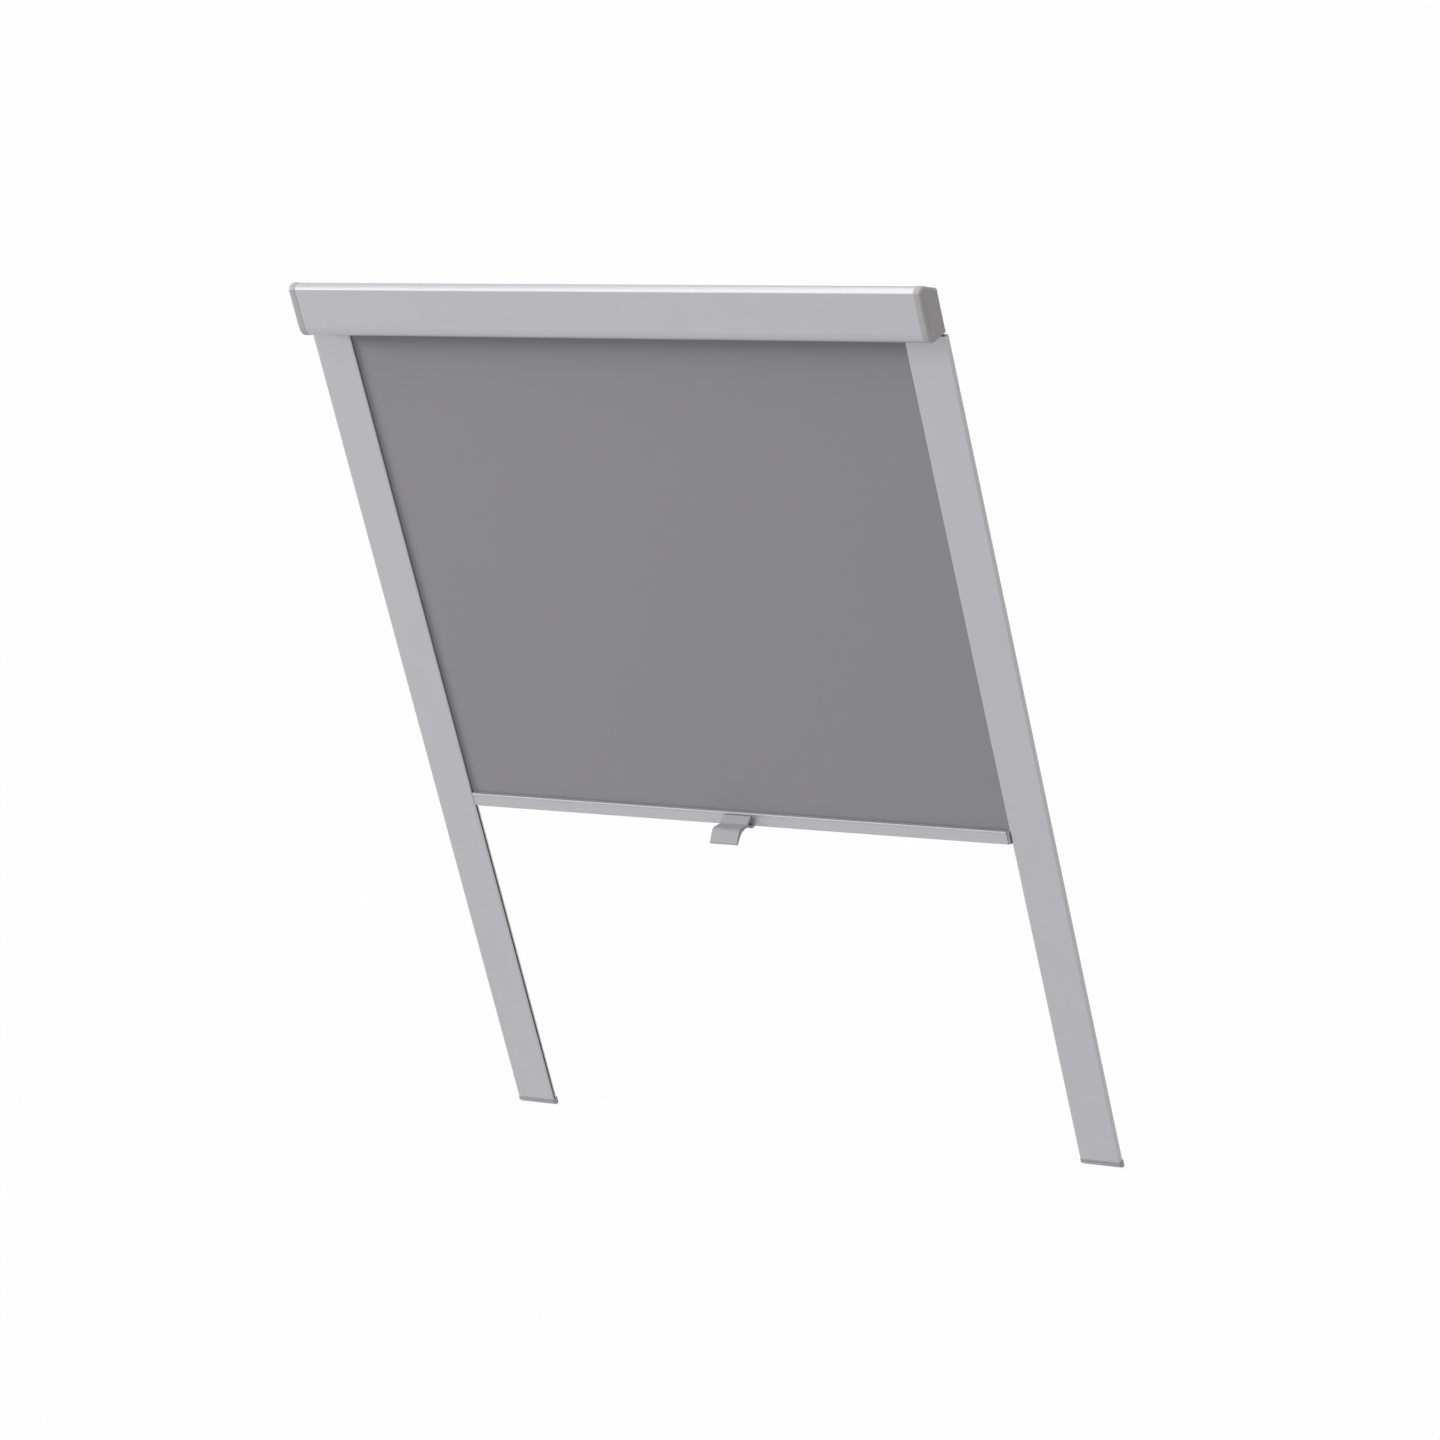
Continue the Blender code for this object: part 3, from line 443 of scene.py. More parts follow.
for side_name, side in SIDES.items():
    rim = lofted([
        [along_x(depth, height, side * x) for depth, height in headbox_outline(inset)]
        for x, inset in rings
    ])
    hub_span = (side * boss_end, side * (rim_end - CAP_FLOOR * 2 / 3))
    hub = extruded([circle((axis_depth, 0), HUB_RADIUS)], along_x, *hub_span)
    bore_span = (side * (boss_end - CAP_RIM), side * (boss_end + HUB_BORE_DEPTH))
    bore = extruded([bore_outlines[side_name]], along_x, *bore_span)
    socket = block(
        (side * (cap_start + FIT), side * (cap_start + PEG_WIDTH + 3 * FIT)),
        (cloth_depth - PEG_DEPTH / 2 - FIT, cloth_depth + PEG_DEPTH / 2 + FIT),
        (headbox_foot - CAP_RIM, headbox_foot + PEG_HEIGHT - CAP_PROUD + FIT),
    )
    cap = combined(rim, ("UNION", hub), ("DIFFERENCE", bore), ("DIFFERENCE", socket))
    piece(
        f"cap_moulding_{side_name}", cap, "housing", cap_plastic,
        f"end_cap_{side_name}",
    )

# Mounting plates: folded steel, zinc plated, with the faint clouds of the plating bath. Each sits
# in an opening in the shell's back, and its two joggled tongues hold the shell from inside.
ZINC_DARK = (0.50, 0.50, 0.515, 1)
ZINC_LIGHT = (0.62, 0.62, 0.63, 1)
ZINC_ROUGHNESS = 0.24
ZINC_SPREAD = 0.16
CLOUD_SCALE = 240
CLOUD_DEPTH = 0.00001
PLATE_THICKNESS = 0.0012
PLATE_TONGUE = 0.0034
PLATE_HOLE_RADIUS = 0.0022
PLATE_HOLE_SPACING = 0.0080
PLATE_FOLD_RADIUS = 0.0006
PLATE_EDGE_RADIUS = 0.00012
BEVEL_STEPS = 4
FLAT_ANGLE = radians(0.5)


def along_y(x, height, depth):
    """A point of an outline that is swept from the blind's back to its front."""
    return (x, -depth, height)


def softened(built, radius):
    """Round every sharp edge a little, as the mould or the press leaves it."""
    bmesh.ops.dissolve_limit(
        built, angle_limit=FLAT_ANGLE, verts=built.verts[:], edges=built.edges[:]
    )
    sharp = [edge for edge in built.edges if edge.calc_face_angle(0) > SHARP_ANGLE]
    bmesh.ops.bevel(
        built, geom=sharp, offset=radius, segments=BEVEL_STEPS, profile=0.5, affect="EDGES"
    )
    return built


zinc_steel = Finish("zinc_plated_steel", metallic=1.0)
clouds = zinc_steel.noise(zinc_steel.place(), CLOUD_SCALE, detail=3.0, roughness=0.6)
zinc_steel.paint(
    colour=zinc_steel.blend(clouds, ZINC_DARK, ZINC_LIGHT),
    relief=clouds,
    depth=CLOUD_DEPTH,
    strength=0.4,
    roughness=ZINC_ROUGHNESS + ZINC_SPREAD * clouds,
)
flat = PLATE_OPENING_HEIGHT / 2 - SHELL_WALL - 2 * FIT
fold = flat + seat
tip = fold + PLATE_TONGUE
back = [(seat, tip), (seat, fold), (0, flat), (0, -flat), (seat, -fold), (seat, -tip)]
face = [(depth + PLATE_THICKNESS, height) for depth, height in reversed(back)]
turn_in = PLATE_THICKNESS * tan(pi / 8)
for index, shift in ((1, turn_in), (2, turn_in), (3, -turn_in), (4, -turn_in)):
    face[index] = (face[index][0], face[index][1] + shift)
fold_radii = [0.0] + 4 * [PLATE_FOLD_RADIUS] + [0.0]
plate_corners = [(*point, radius) for point, radius in zip(back + face, 2 * fold_radii)]
for side_name in SIDES:
    plate_low, plate_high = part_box(f"mounting_plate_{side_name}")
    plate_middle = (plate_low.x + plate_high.x) / 2
    plate = extruded([rounded(plate_corners)], along_x, plate_low.x, plate_high.x)
    holes = []
    for height in (PLATE_HOLE_SPACING / 2, -PLATE_HOLE_SPACING / 2):
        outline = circle((plate_middle, height), PLATE_HOLE_RADIUS)
        hole = extruded([outline], along_y, -PLATE_THICKNESS, 2 * PLATE_THICKNESS)
        holes.append(("DIFFERENCE", hole))
    plate = combined(softened(plate, PLATE_EDGE_RADIUS), *holes)
    piece(
        f"hanging_plate_{side_name}", plate, "housing", zinc_steel,
        f"mounting_plate_{side_name}",
    )

# Guide rails: flat anodised extrusions, each with a channel that opens towards the cloth through
# a slot, and a closed hollow beside it. Under the headbox a moulded plug locates the rail's top.
RAIL_WALL = 0.0010
RAIL_EDGE_RADIUS = 0.0012
RAIL_LIP_RADIUS = 0.00045
RAIL_SLOT = 0.0018
RAIL_CHANNEL = 0.0150
rail_low, rail_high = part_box("guide_rail_right")
rail_front, rail_back = -rail_low.y, -rail_high.y
rail_inner, rail_outer = rail_low.x, rail_high.x
channel_start = rail_inner + RAIL_WALL
channel_end = channel_start + RAIL_CHANNEL
hollow_start = channel_end + RAIL_WALL
hollow_end = rail_outer - RAIL_WALL
anodised_upright = anodised("anodised_aluminium_upright", (1, 1, DIE_LINE_STRETCH))
soft, crisp = RAIL_WALL / 2, RAIL_WALL / 4
slot_back, slot_front = cloth_depth - RAIL_SLOT / 2, cloth_depth + RAIL_SLOT / 2
profile = rounded([
    (rail_inner, rail_back, soft),
    (rail_outer, rail_back, soft),
    (rail_outer, rail_front, RAIL_EDGE_RADIUS),
    (rail_inner, rail_front, RAIL_EDGE_RADIUS),
    (rail_inner, slot_front, RAIL_LIP_RADIUS),
    (channel_start, slot_front, RAIL_LIP_RADIUS),
    (channel_start, rail_front - RAIL_WALL, crisp),
    (channel_end, rail_front - RAIL_WALL, crisp),
    (channel_end, rail_back + RAIL_WALL, crisp),
    (channel_start, rail_back + RAIL_WALL, crisp),
    (channel_start, slot_back, RAIL_LIP_RADIUS),
    (rail_inner, slot_back, RAIL_LIP_RADIUS),
])
hollow = rectangle(
    hollow_start, hollow_end, rail_back + RAIL_WALL, rail_front - RAIL_WALL, crisp
)
for side_name, side in SIDES.items():
    outlines = [[(side * x, depth) for x, depth in outline] for outline in (profile, hollow)]
    rail = extruded(outlines, along_z, rail_low.z, rail_high.z)
    piece(
        f"rail_extrusion_{side_name}", rail, "housing", anodised_upright,
        f"guide_rail_{side_name}",
    )
cap_plastic.dress("rail_joiner_left", "rail_joiner_right")

# Foam tapes: strips of closed-cell foam with adhesive on both sides. Each lies on a rail's back
# and holds the rail where the blind is put up, so that no screw goes through it.
FOAM_DARK = (0.70, 0.70, 0.68, 1)
FOAM_LIGHT = (0.80, 0.80, 0.78, 1)
CELL_SCALE = 3200
CELL_DEPTH = 0.00006
TAPE_CORNER_RADIUS = 0.0012
TAPE_EDGE_RADIUS = 0.0002
foam = Finish("foam_tape", roughness=0.8)
cell_sockets = {"Vector": foam.place(), "Scale": CELL_SCALE}
cells = foam.node("ShaderNodeTexVoronoi", {}, cell_sockets, "Distance")
foam.paint(foam.blend(cells, FOAM_LIGHT, FOAM_DARK), cells, CELL_DEPTH, strength=0.7)
for side_name in SIDES:
    tape_low, tape_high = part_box(f"rail_tape_{side_name}")
    outline = rectangle(tape_low.x, tape_high.x, tape_low.z, tape_high.z, TAPE_CORNER_RADIUS)
    strip = extruded([outline], along_y, -tape_high.y, -tape_low.y)
    tape = piece(
        f"foam_strip_{side_name}", softened(strip, TAPE_EDGE_RADIUS), "housing", foam,
        f"rail_tape_{side_name}",
    )

# Rail feet: moulded caps, chamfered along their lower front edge. A plug in each of the rail's
# two hollows holds them, and the one in the channel stops the bottom bar.
RAIL_FOOT_PROUD = 0.0003
RAIL_FOOT_CHAMFER = 0.0026
RAIL_FOOT_RIB = 0.0010
RAIL_FOOT_GROOVE = 0.0007
RAIL_FOOT_EDGE = 0.0002
RAIL_FOOT_STOP = 0.0072
RAIL_FOOT_PLUG = 0.012
plug_depths = (rail_back + RAIL_WALL + FIT, rail_front - RAIL_WALL - FIT)
for side_name, side in SIDES.items():
    foot_low, foot_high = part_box(f"rail_cap_{side_name}")
    foot_height = rail_low.z - FIT - foot_low.z
    groove_foot = foot_height - RAIL_FOOT_RIB - RAIL_FOOT_GROOVE - RAIL_FOOT_EDGE
    levels = (
        (0, RAIL_FOOT_CHAMFER),
        (RAIL_FOOT_CHAMFER, 0),
        (groove_foot, 0),
        (groove_foot + RAIL_FOOT_EDGE, RAIL_FOOT_GROOVE),
        (groove_foot + RAIL_FOOT_GROOVE, RAIL_FOOT_GROOVE),
        (groove_foot + RAIL_FOOT_GROOVE + RAIL_FOOT_EDGE, 0),
        (foot_height - RAIL_FOOT_EDGE, 0),
        (foot_height, RAIL_FOOT_EDGE),
    )
    sections = []
    for height, setback in levels:
        front = rail_front + RAIL_FOOT_PROUD - setback
        outline = rounded([
            (foot_low.x, 0, RAIL_WALL / 2),
            (foot_high.x, 0, RAIL_WALL / 2),
            (foot_high.x, front, RAIL_EDGE_RADIUS),
            (foot_low.x, front, RAIL_EDGE_RADIUS),
        ])
        sections.append([along_z(x, depth, foot_low.z + height) for x, depth in outline])
    root = foot_low.z + foot_height / 2
    plugs = []
    for start, end, rise in (
        (channel_start, channel_end, RAIL_FOOT_STOP),
        (hollow_start, hollow_end, RAIL_FOOT_PLUG),
    ):
        width = (side * (start + FIT), side * (end - FIT))
        plugs.append(("UNION", block(width, plug_depths, (root, rail_low.z + rise))))
    foot = combined(lofted(sections), *plugs)
    piece(
        f"rail_foot_{side_name}", foot, "housing", cap_plastic,
        f"rail_cap_{side_name}",
    )

# Roller: an aluminium tube with a moulded plug in each end. It turns on a steel pin at the left
# and round a still steel arbor at the right.
INNER_DARK = (0.018, 0.018, 0.020, 1)
INNER_LIGHT = (0.030, 0.030, 0.033, 1)
INNER_ROUGHNESS = 0.40
inner_plastic = moulded("inner_plastic", INNER_DARK, INNER_LIGHT, INNER_ROUGHNESS)
anodised_across.dress("roller_tube")
zinc_steel.dress("idler_pin", "spring_arbor")
inner_plastic.dress("idler_plug", "bearing_plug", "spring_anchor")

# Torsion spring: zinc-plated wire wound round the arbor in two dozen turns, between the arbor's
# collar and the anchor that turns with the tube. It winds the cloth in.
SPRING_WIRE = 0.0012
SPRING_RADIUS = 0.0047
SPRING_PITCH = 0.0040
SPRING_TURNS = 24
COIL_POINTS = 24
WIRE_STEPS = 2
spring_low, spring_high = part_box("torsion_spring")
wire = bpy.data.curves.new("spring_wire", "CURVE")
wire.dimensions = "3D"
wire.bevel_depth = SPRING_WIRE / 2
wire.bevel_resolution = WIRE_STEPS
wire.use_fill_caps = True
wire.materials.append(zinc_steel.material)
route = [(spring_low.x, SPRING_RADIUS - axis_depth, 0)]
for step in range(SPRING_TURNS * COIL_POINTS + 1):
    turn = tau * step / COIL_POINTS
    x = spring_low.x + SPRING_WIRE + SPRING_PITCH * step / COIL_POINTS
    route.append((x, SPRING_RADIUS * cos(turn) - axis_depth, SPRING_RADIUS * sin(turn)))
route.append((spring_high.x, SPRING_RADIUS - axis_depth, 0))
line = wire.splines.new("POLY")
line.points.add(len(route) - 1)
for point, spot in zip(line.points, route):
    point.co = (*spot, 1)
spring = bpy.data.objects.new("spring_wire", wire)
bpy.context.collection.objects.link(spring)
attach(spring, "roller")
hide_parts("torsion_spring")

# Cloth: plain-woven polyester in grey, with a paler blackout coating on the side away from the
# room. Its edges run inside the rails, its hem is locked in the bottom bar, and the rest is wound
# on the roller.
CLOTH_DARK = (0.236, 0.230, 0.250, 1)
CLOTH_LIGHT = (0.273, 0.267, 0.289, 1)
COATING = (0.42, 0.42, 0.43, 1)
THREAD_PITCH = 0.00040
THREAD_DEPTH = 0.00006
THREAD_SHARE = 0.55
SLUB_SCALE = 2500
SLUB_STRETCH = 0.02
SLUB_SHARE = 0.25
CLOTH_THICKNESS = 0.00020
CLOTH_WOUND = 0.311
WOUND_PLAY = 0.00003
WOUND_POINTS = 48
HEM_MARGIN = 0.0002


def woven():
    """Plain weave: each thread goes over and under the next, with slubs both ways."""
    finish = Finish("blackout_cloth", roughness=0.8, sheen_weight=0.1)
    x, y, z = finish.split(finish.place())
    across, down = (x * (pi / THREAD_PITCH)).sine(), (z * (pi / THREAD_PITCH)).sine()
    over = 0.5 + 0.5 * across * down
    threads = over * abs(across) + (1 - over) * abs(down)
    weft = finish.noise(finish.place((SLUB_STRETCH, 1, 1)), SLUB_SCALE)
    warp = finish.noise(finish.place((1, 1, SLUB_STRETCH)), SLUB_SCALE)
    shade = THREAD_SHARE * threads + SLUB_SHARE * (weft + warp)
    dyed = finish.blend(shade, CLOTH_DARK, CLOTH_LIGHT)
    finish.paint(
        finish.blend(y > -cloth_depth, dyed, COATING), threads, THREAD_DEPTH, strength=0.5
    )
    return finish


blackout_cloth = woven()
bar_low, bar_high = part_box("bottom_bar")
hem_half = bar_high.x - HEM_MARGIN
sheet_foot = bar_high.z + FIT
half_sheet = [
    (hem_half, cloth_low.z),
    (hem_half, sheet_foot),
    (cloth_high.x, sheet_foot),
    (cloth_high.x, 0),
]
sheet_outline = half_sheet + [(-x, height) for x, height in reversed(half_sheet)]
sheet_faces = (cloth_depth - CLOTH_THICKNESS / 2, cloth_depth + CLOTH_THICKNESS / 2)
sheet = extruded([sheet_outline], along_y, *sheet_faces)
panel = piece("cloth_panel", sheet, None, blackout_cloth, "cloth_sheet")
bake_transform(panel)

tube_low, tube_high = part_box("roller_tube")
wound_low = (tube_high.z - tube_low.z) / 2 + WOUND_PLAY
wound_high = axis_depth - cloth_depth - CLOTH_THICKNESS / 2 - WOUND_PLAY
wound_area = pi * (wound_high + wound_low)
pitch = wound_area * (wound_high - wound_low) / (CLOTH_WOUND + wound_area)
turns = (wound_high - wound_low) / pitch - 1
sections = []
for step in range(round(turns * WOUND_POINTS) + 1):
    turn = tau * step / WOUND_POINTS
    middle = wound_low + pitch / 2 + pitch * step / WOUND_POINTS
    near, far = middle - CLOTH_THICKNESS / 2, middle + CLOTH_THICKNESS / 2
    corners = (
        (cloth_low.x, near),
        (cloth_high.x, near),
        (cloth_high.x, far),
        (cloth_low.x, far),
    )
    sections.append([
        (x, radius * cos(turn) - axis_depth, radius * sin(turn)) for x, radius in corners
    ])
roll = lofted(sections)
wound = piece("wound_cloth", roll, "roller", blackout_cloth, "cloth_roll")
inner_plastic.dress("hem_spline")

# Bottom bar: a slim anodised extrusion with a bead along its top edge. A round groove in its top
# holds the cloth's hem, and a shallow one in its foot takes the handle's barb.
BAR_WALL = 0.0010
BAR_FLOOR = 0.0020
BAR_WEB = 0.0011
BAR_BEAD_HEIGHT = 0.0015
BAR_BEAD_PROUD = 0.0005
BAR_GROOVE_DROP = 0.0037
BAR_GROOVE_OPENING = 0.0014
HOOK_GROOVE_SETBACK = 0.0033
HOOK_GROOVE_WIDTH = 0.0014
HOOK_GROOVE_DEPTH = 0.0010
spline_low, spline_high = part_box("hem_spline")
bar_back = -bar_high.y
bar_front = -bar_low.y - BAR_BEAD_PROUD
bar_height = bar_high.z - bar_low.z
groove_height = bar_height - BAR_GROOVE_DROP
groove_radius = (spline_high.z - spline_low.z) / 2 + FIT


def on_bar(depth, height, x):
    """A place on the bar, its height counted from the bar's foot."""
    return along_x(depth, bar_low.z + height, x)


def bar_chamber(inset):
    """The bar's lower hollow, drawn in by the inset."""
    depths = (bar_back + BAR_WALL + inset, bar_front - BAR_WALL - inset)
    chamber_top = groove_height - groove_radius - BAR_WEB
    return rectangle(*depths, BAR_FLOOR + inset, chamber_top - inset, crisp)


hook_end = bar_front - HOOK_GROOVE_SETBACK + HOOK_GROOVE_WIDTH / 2
hook_start = hook_end - HOOK_GROOVE_WIDTH
bead_foot = bar_height - BAR_BEAD_HEIGHT
bead_front = bar_front + BAR_BEAD_PROUD
mouth = BAR_GROOVE_OPENING / 2
mouth_turn = asin(mouth / groove_radius)
outline = rounded([
    (bar_back, 0, BAR_WALL / 2),
    (hook_start, 0, 0),
    (hook_start, HOOK_GROOVE_DEPTH, 0),
    (hook_end, HOOK_GROOVE_DEPTH, 0),
    (hook_end, 0, 0),
    (bar_front, 0, BAR_WALL),
    (bar_front, bead_foot - BAR_BEAD_PROUD, BAR_BEAD_PROUD / 4),
    (bead_front, bead_foot, BAR_BEAD_PROUD / 2),
    (bead_front, bar_height, BAR_BEAD_HEIGHT / 2),
    (cloth_depth + mouth, bar_height, 0),
])
groove_centre = (cloth_depth, groove_height)
groove_turns = (pi / 2 - mouth_turn, mouth_turn - 3 * pi / 2)
outline += arc(groove_centre, groove_radius, *groove_turns, 4 * ARC_STEPS)
outline += [(cloth_depth - mouth, bar_height)]
top_back = (bar_back + BAR_WALL / 2, bar_height - BAR_WALL / 2)
outline += arc(top_back, BAR_WALL / 2, pi / 2, pi, ARC_STEPS)
bar = extruded([outline, bar_chamber(0)], on_bar, bar_low.x, bar_high.x)
piece("bar_extrusion", bar, "bar", anodised_across, "bottom_bar")

# Bar ends: moulded in light grey plastic. Each has a plug in the bar's hollow, a plate over its
# end and a shoe that runs in the rail's channel, with a pocket for the brake.
HANDLE_DARK = (0.350, 0.350, 0.373, 1)
HANDLE_LIGHT = (0.395, 0.395, 0.418, 1)
HANDLE_ROUGHNESS = 0.40
END_PLATE = 0.0020
END_PLUG = 0.014
END_EDGE_RADIUS = 0.0002
NECK_THICKNESS = 0.0012
SHOE_HEIGHT = 0.0120
SHOE_ARM = 0.0014
SHOE_SETBACK = 0.0022
handle_plastic = moulded("handle_plastic", HANDLE_DARK, HANDLE_LIGHT, HANDLE_ROUGHNESS)
plate_start = bar_high.x + SEAM
plate_end = bar_high.x + FIT + END_PLATE
plate_middle = (plate_start + plate_end) / 2
shoe_start = channel_start + FIT
shoe_tip = channel_end - SHOE_SETBACK
for side_name, side in SIDES.items():
    leaf_low, leaf_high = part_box(f"leaf_spring_{side_name}")
    pocket_floor = min(abs(leaf_low.x), abs(leaf_high.x)) - FIT
    outline = rectangle(bar_back + FIT, bar_front - FIT, FIT, bar_height - FIT, BAR_WALL)
    plate = extruded([outline], on_bar, side * plate_start, side * plate_end)
    plug_span = (side * (bar_high.x - END_PLUG), side * plate_middle)
    plug = extruded([bar_chamber(FIT)], on_bar, *plug_span)
    neck = block(
        (side * plate_middle, side * (shoe_start + pocket_floor) / 2),
        (cloth_depth - NECK_THICKNESS / 2, cloth_depth + NECK_THICKNESS / 2),
        (bar_low.z + SHOE_ARM, bar_low.z + SHOE_HEIGHT - SHOE_ARM),
    )
    outline = [
        (shoe_start, 0),
        (shoe_tip, 0),
        (shoe_tip, SHOE_ARM),
        (pocket_floor, SHOE_ARM),
        (pocket_floor, SHOE_HEIGHT - SHOE_ARM),
        (shoe_tip, SHOE_HEIGHT - SHOE_ARM),
        (shoe_tip, SHOE_HEIGHT),
        (shoe_start, SHOE_HEIGHT),
    ]
    outline = [(side * x, bar_low.z + height) for x, height in outline]
    shoe = softened(extruded([outline], along_y, *plug_depths), END_EDGE_RADIUS)
    plate = softened(plate, END_EDGE_RADIUS)
    guide = combined(plate, ("UNION", plug), ("UNION", neck), ("UNION", shoe))
    piece(
        f"bar_guide_{side_name}", guide, "bar", handle_plastic,
        f"bar_end_{side_name}",
    )

# Brakes: a block of pressed felt in each shoe's pocket, held on the rail's web by a bowed leaf
# spring, so that the bar stays wherever it is left.
FELT_DARK = (0.040, 0.040, 0.045, 1)
FELT_LIGHT = (0.062, 0.062, 0.068, 1)
FIBRE_SCALE = 4000
FIBRE_STRETCH = 0.3
FIBRE_DEPTH = 0.0001
PAD_EDGE_RADIUS = 0.0004
felt = Finish("felt", roughness=0.95, sheen_weight=0.3)
fibre_place = felt.place((1, 1, FIBRE_STRETCH))
fibres = felt.noise(fibre_place, FIBRE_SCALE, detail=4.0, roughness=0.7)
felt.paint(felt.blend(fibres, FELT_DARK, FELT_LIGHT), fibres, FIBRE_DEPTH, strength=0.8)
for side_name in SIDES:
    pad_low, pad_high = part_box(f"brake_pad_{side_name}")
    pad = block((pad_low.x, pad_high.x), (-pad_high.y, -pad_low.y), (pad_low.z, pad_high.z))
    pad = softened(pad, PAD_EDGE_RADIUS)
    felt_block = piece(
        f"felt_block_{side_name}", pad, "bar", felt, f"brake_pad_{side_name}"
    )
zinc_steel.dress("leaf_spring_left", "leaf_spring_right")

# Pull handle: a moulded clip with a hollow triangular root, a shelf for a fingertip and a lip
# that turns down. It snaps over the bar's bead side, with a barb in the groove under the bar.
HANDLE_WALL = 0.0018
HANDLE_ROOT_WALL = 0.0013
HANDLE_SHOULDER = 0.0086
HANDLE_HOLLOW = 0.0063
HANDLE_BEND = 0.0206
HANDLE_SHELF = 0.0040
HANDLE_THROAT = 0.0046
HANDLE_REACH = 0.0294
HANDLE_DROP = 0.0134
HANDLE_EDGE_RADIUS = 0.0005
BARB_EDGE_RADIUS = 0.0001
handle_low, handle_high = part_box("pull_handle")


def on_handle(reach, drop, x):
    """A place on the handle, counted out from the bar's face and down from its top."""
    return on_bar(bar_front + reach, bar_height - drop, x)


wall, web = HANDLE_WALL, HANDLE_ROOT_WALL
top = BAR_BEAD_HEIGHT + BAR_BEAD_PROUD + FIT
under = bar_height + FIT
sole = under + wall / 2
barb_back = -HOOK_GROOVE_SETBACK - HOOK_GROOVE_WIDTH / 2 + FIT
barb_front = barb_back + HOOK_GROOVE_WIDTH - 2 * FIT
barb_top = under - HOOK_GROOVE_DEPTH + FIT
clip_outline = rounded([
    (FIT, top, 0),
    (HANDLE_SHOULDER, HANDLE_HOLLOW, 2 * wall),
    (HANDLE_BEND, HANDLE_SHELF, 3 * wall),
    (HANDLE_REACH, HANDLE_DROP, wall / 3),
    (HANDLE_REACH - wall / 2, HANDLE_DROP + wall, wall / 3),
    (HANDLE_BEND - wall * 2 / 3, HANDLE_SHELF + HANDLE_THROAT, 5 * wall),
    (HANDLE_SHOULDER + wall / 2, HANDLE_HOLLOW + wall, wall / 2),
    (wall, sole, wall),
    (FIT, sole, 0),
])
hole_outline = rounded([
    (FIT + web, top + 2.5 * web, web / 4),
    (HANDLE_SHOULDER - 1.5 * web, HANDLE_HOLLOW + web, web / 4),
    (FIT + web, under - web, web / 4),
])
hook_outline = rounded([
    (barb_back, sole, wall / 4),
    (barb_back, barb_top, wall / 8),
    (barb_front, barb_top, 0),
    (barb_front, under, 0),
    (wall, under, 0),
    (wall, sole, 0),
])
hook_inset = HANDLE_EDGE_RADIUS / 2
clip = extruded([clip_outline], on_handle, handle_low.x, handle_high.x)
hole = extruded([hole_outline], on_handle, handle_low.x - wall, handle_high.x + wall)
hook_span = (handle_low.x + hook_inset, handle_high.x - hook_inset)
hook = softened(extruded([hook_outline], on_handle, *hook_span), BARB_EDGE_RADIUS)
clip = softened(clip, HANDLE_EDGE_RADIUS)
handle = combined(clip, ("DIFFERENCE", hole), ("UNION", hook))
piece("handle_clip", handle, "bar", handle_plastic, "pull_handle")

# Floor, lights and camera: the blind stands on its rails' feet on a white floor. A wide soft
# light overhead and a small one behind it lay the sheen on the crown, a key light comes from the
# left and a weak one from the front right, and the camera looks from the right and above.
FLOOR_SIZE = 30.0
FLOOR_GAP = 0.0002
FLOOR_GLOW = 0.975
FLOOR_COLOUR = (0.62, 0.62, 0.62, 1)
WHITE = (1, 1, 1, 1)
WORLD_LEVEL = 0.37
HEADBOX_MIDDLE = (0, 0, 0)
BLIND_MIDDLE = (0, 0, -0.38)
CAMERA_SPOT = Vector((2.1895, -3.0266, 1.3719))
CAMERA_AIM = Vector((0.0050, 0.0020, -0.3820))
CAMERA_TILT = radians(-13.553)
CAMERA_LENS = 122.96
SENSOR_WIDTH = 36
blind_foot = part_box("rail_cap_left")[0].z


def ray_is_seen(nodes):
    """1 where the ray comes from the camera, a glossy face or a clear one, and else 0."""
    camera, glossy, clear = (
        nodes.node("ShaderNodeLightPath", {}, {}, f"Is {kind} Ray")
        for kind in ("Camera", "Glossy", "Transmission")
    )
    return camera.larger(glossy).larger(clear)


def soft_light(name, spot, aim, size, power):
    light = bpy.data.lights.new(name, "AREA")
    light.shape = "RECTANGLE"
    light.size, light.size_y = size
    light.energy = power
    lamp = bpy.data.objects.new(name, light)
    lamp.location = spot
    lamp.rotation_euler = (Vector(aim) - Vector(spot)).to_track_quat("-Z", "Y").to_euler()
    lamp.visible_camera = False
    bpy.context.collection.objects.link(lamp)


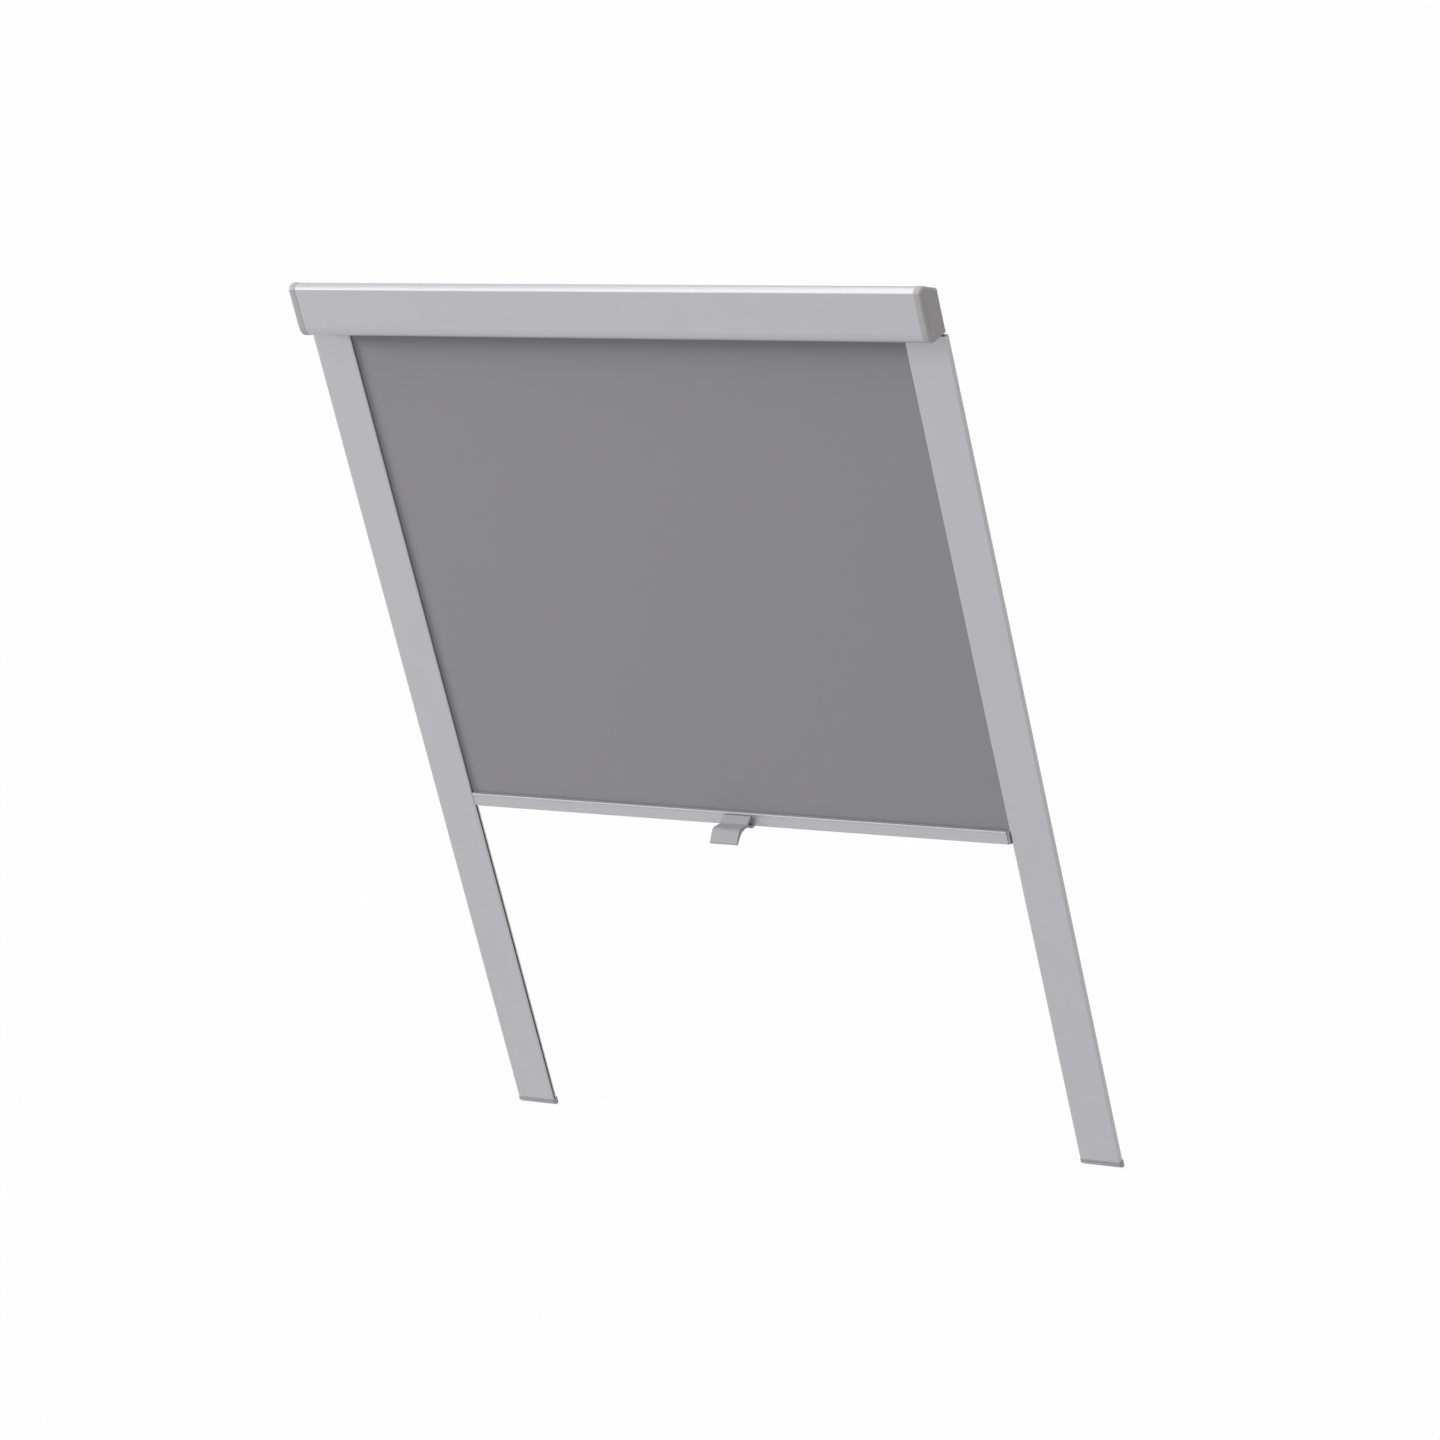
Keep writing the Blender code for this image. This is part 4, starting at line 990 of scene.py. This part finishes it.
world = bpy.data.worlds.new("studio")
world.use_nodes = True
bpy.context.scene.world = world
studio = Nodes(world.node_tree)
background = studio.tree.nodes["Background"]
brightness = WORLD_LEVEL + (1 - WORLD_LEVEL) * ray_is_seen(studio)
studio.feed(background.inputs["Color"], WHITE)
studio.feed(background.inputs["Strength"], brightness)

floor_mesh = bmesh.new()
bmesh.ops.create_grid(floor_mesh, x_segments=1, y_segments=1, size=FLOOR_SIZE / 2)
floor_data = bpy.data.meshes.new("floor")
floor_mesh.to_mesh(floor_data)
floor_mesh.free()
floor = bpy.data.objects.new("floor", floor_data)
floor.location.z = blind_foot - FLOOR_GAP
bpy.context.collection.objects.link(floor)
paper = Finish("white_floor", base_color=FLOOR_COLOUR, roughness=0.9)
lit = Value(paper, paper.shader.outputs[0])
glow = paper.node("ShaderNodeEmission", {}, {"Color": WHITE})
share = FLOOR_GLOW * ray_is_seen(paper)
shown = paper.node("ShaderNodeMixShader", {}, {0: share, 1: lit, 2: glow})
paper.feed(paper.tree.nodes["Material Output"].inputs["Surface"], shown)
floor_data.materials.append(paper.material)

soft_light("overhead", spot=(-0.35, -0.5, 1.9), aim=HEADBOX_MIDDLE, size=(1.4, 2.6), power=21)
soft_light("crown", spot=(-0.5, 0.6, 1.9), aim=HEADBOX_MIDDLE, size=(0.9, 1.4), power=5)
soft_light("key", spot=(-8.0, -2.7, 2.6), aim=BLIND_MIDDLE, size=(2.4, 1.4), power=630)
soft_light("front", spot=(3.2, -3.6, -0.3), aim=BLIND_MIDDLE, size=(1.8, 1.8), power=15)

lens = bpy.data.cameras.new("camera")
lens.lens = CAMERA_LENS
lens.sensor_width = SENSOR_WIDTH
camera = bpy.data.objects.new("camera", lens)
camera.rotation_mode = "QUATERNION"
camera.location = CAMERA_SPOT
level_view = (CAMERA_AIM - CAMERA_SPOT).to_track_quat("-Z", "Y")
camera.rotation_quaternion = level_view @ Matrix.Rotation(CAMERA_TILT, 3, "Z").to_quaternion()
bpy.context.collection.objects.link(camera)
bpy.context.scene.camera = camera
bpy.context.scene.view_settings.view_transform = "Standard"
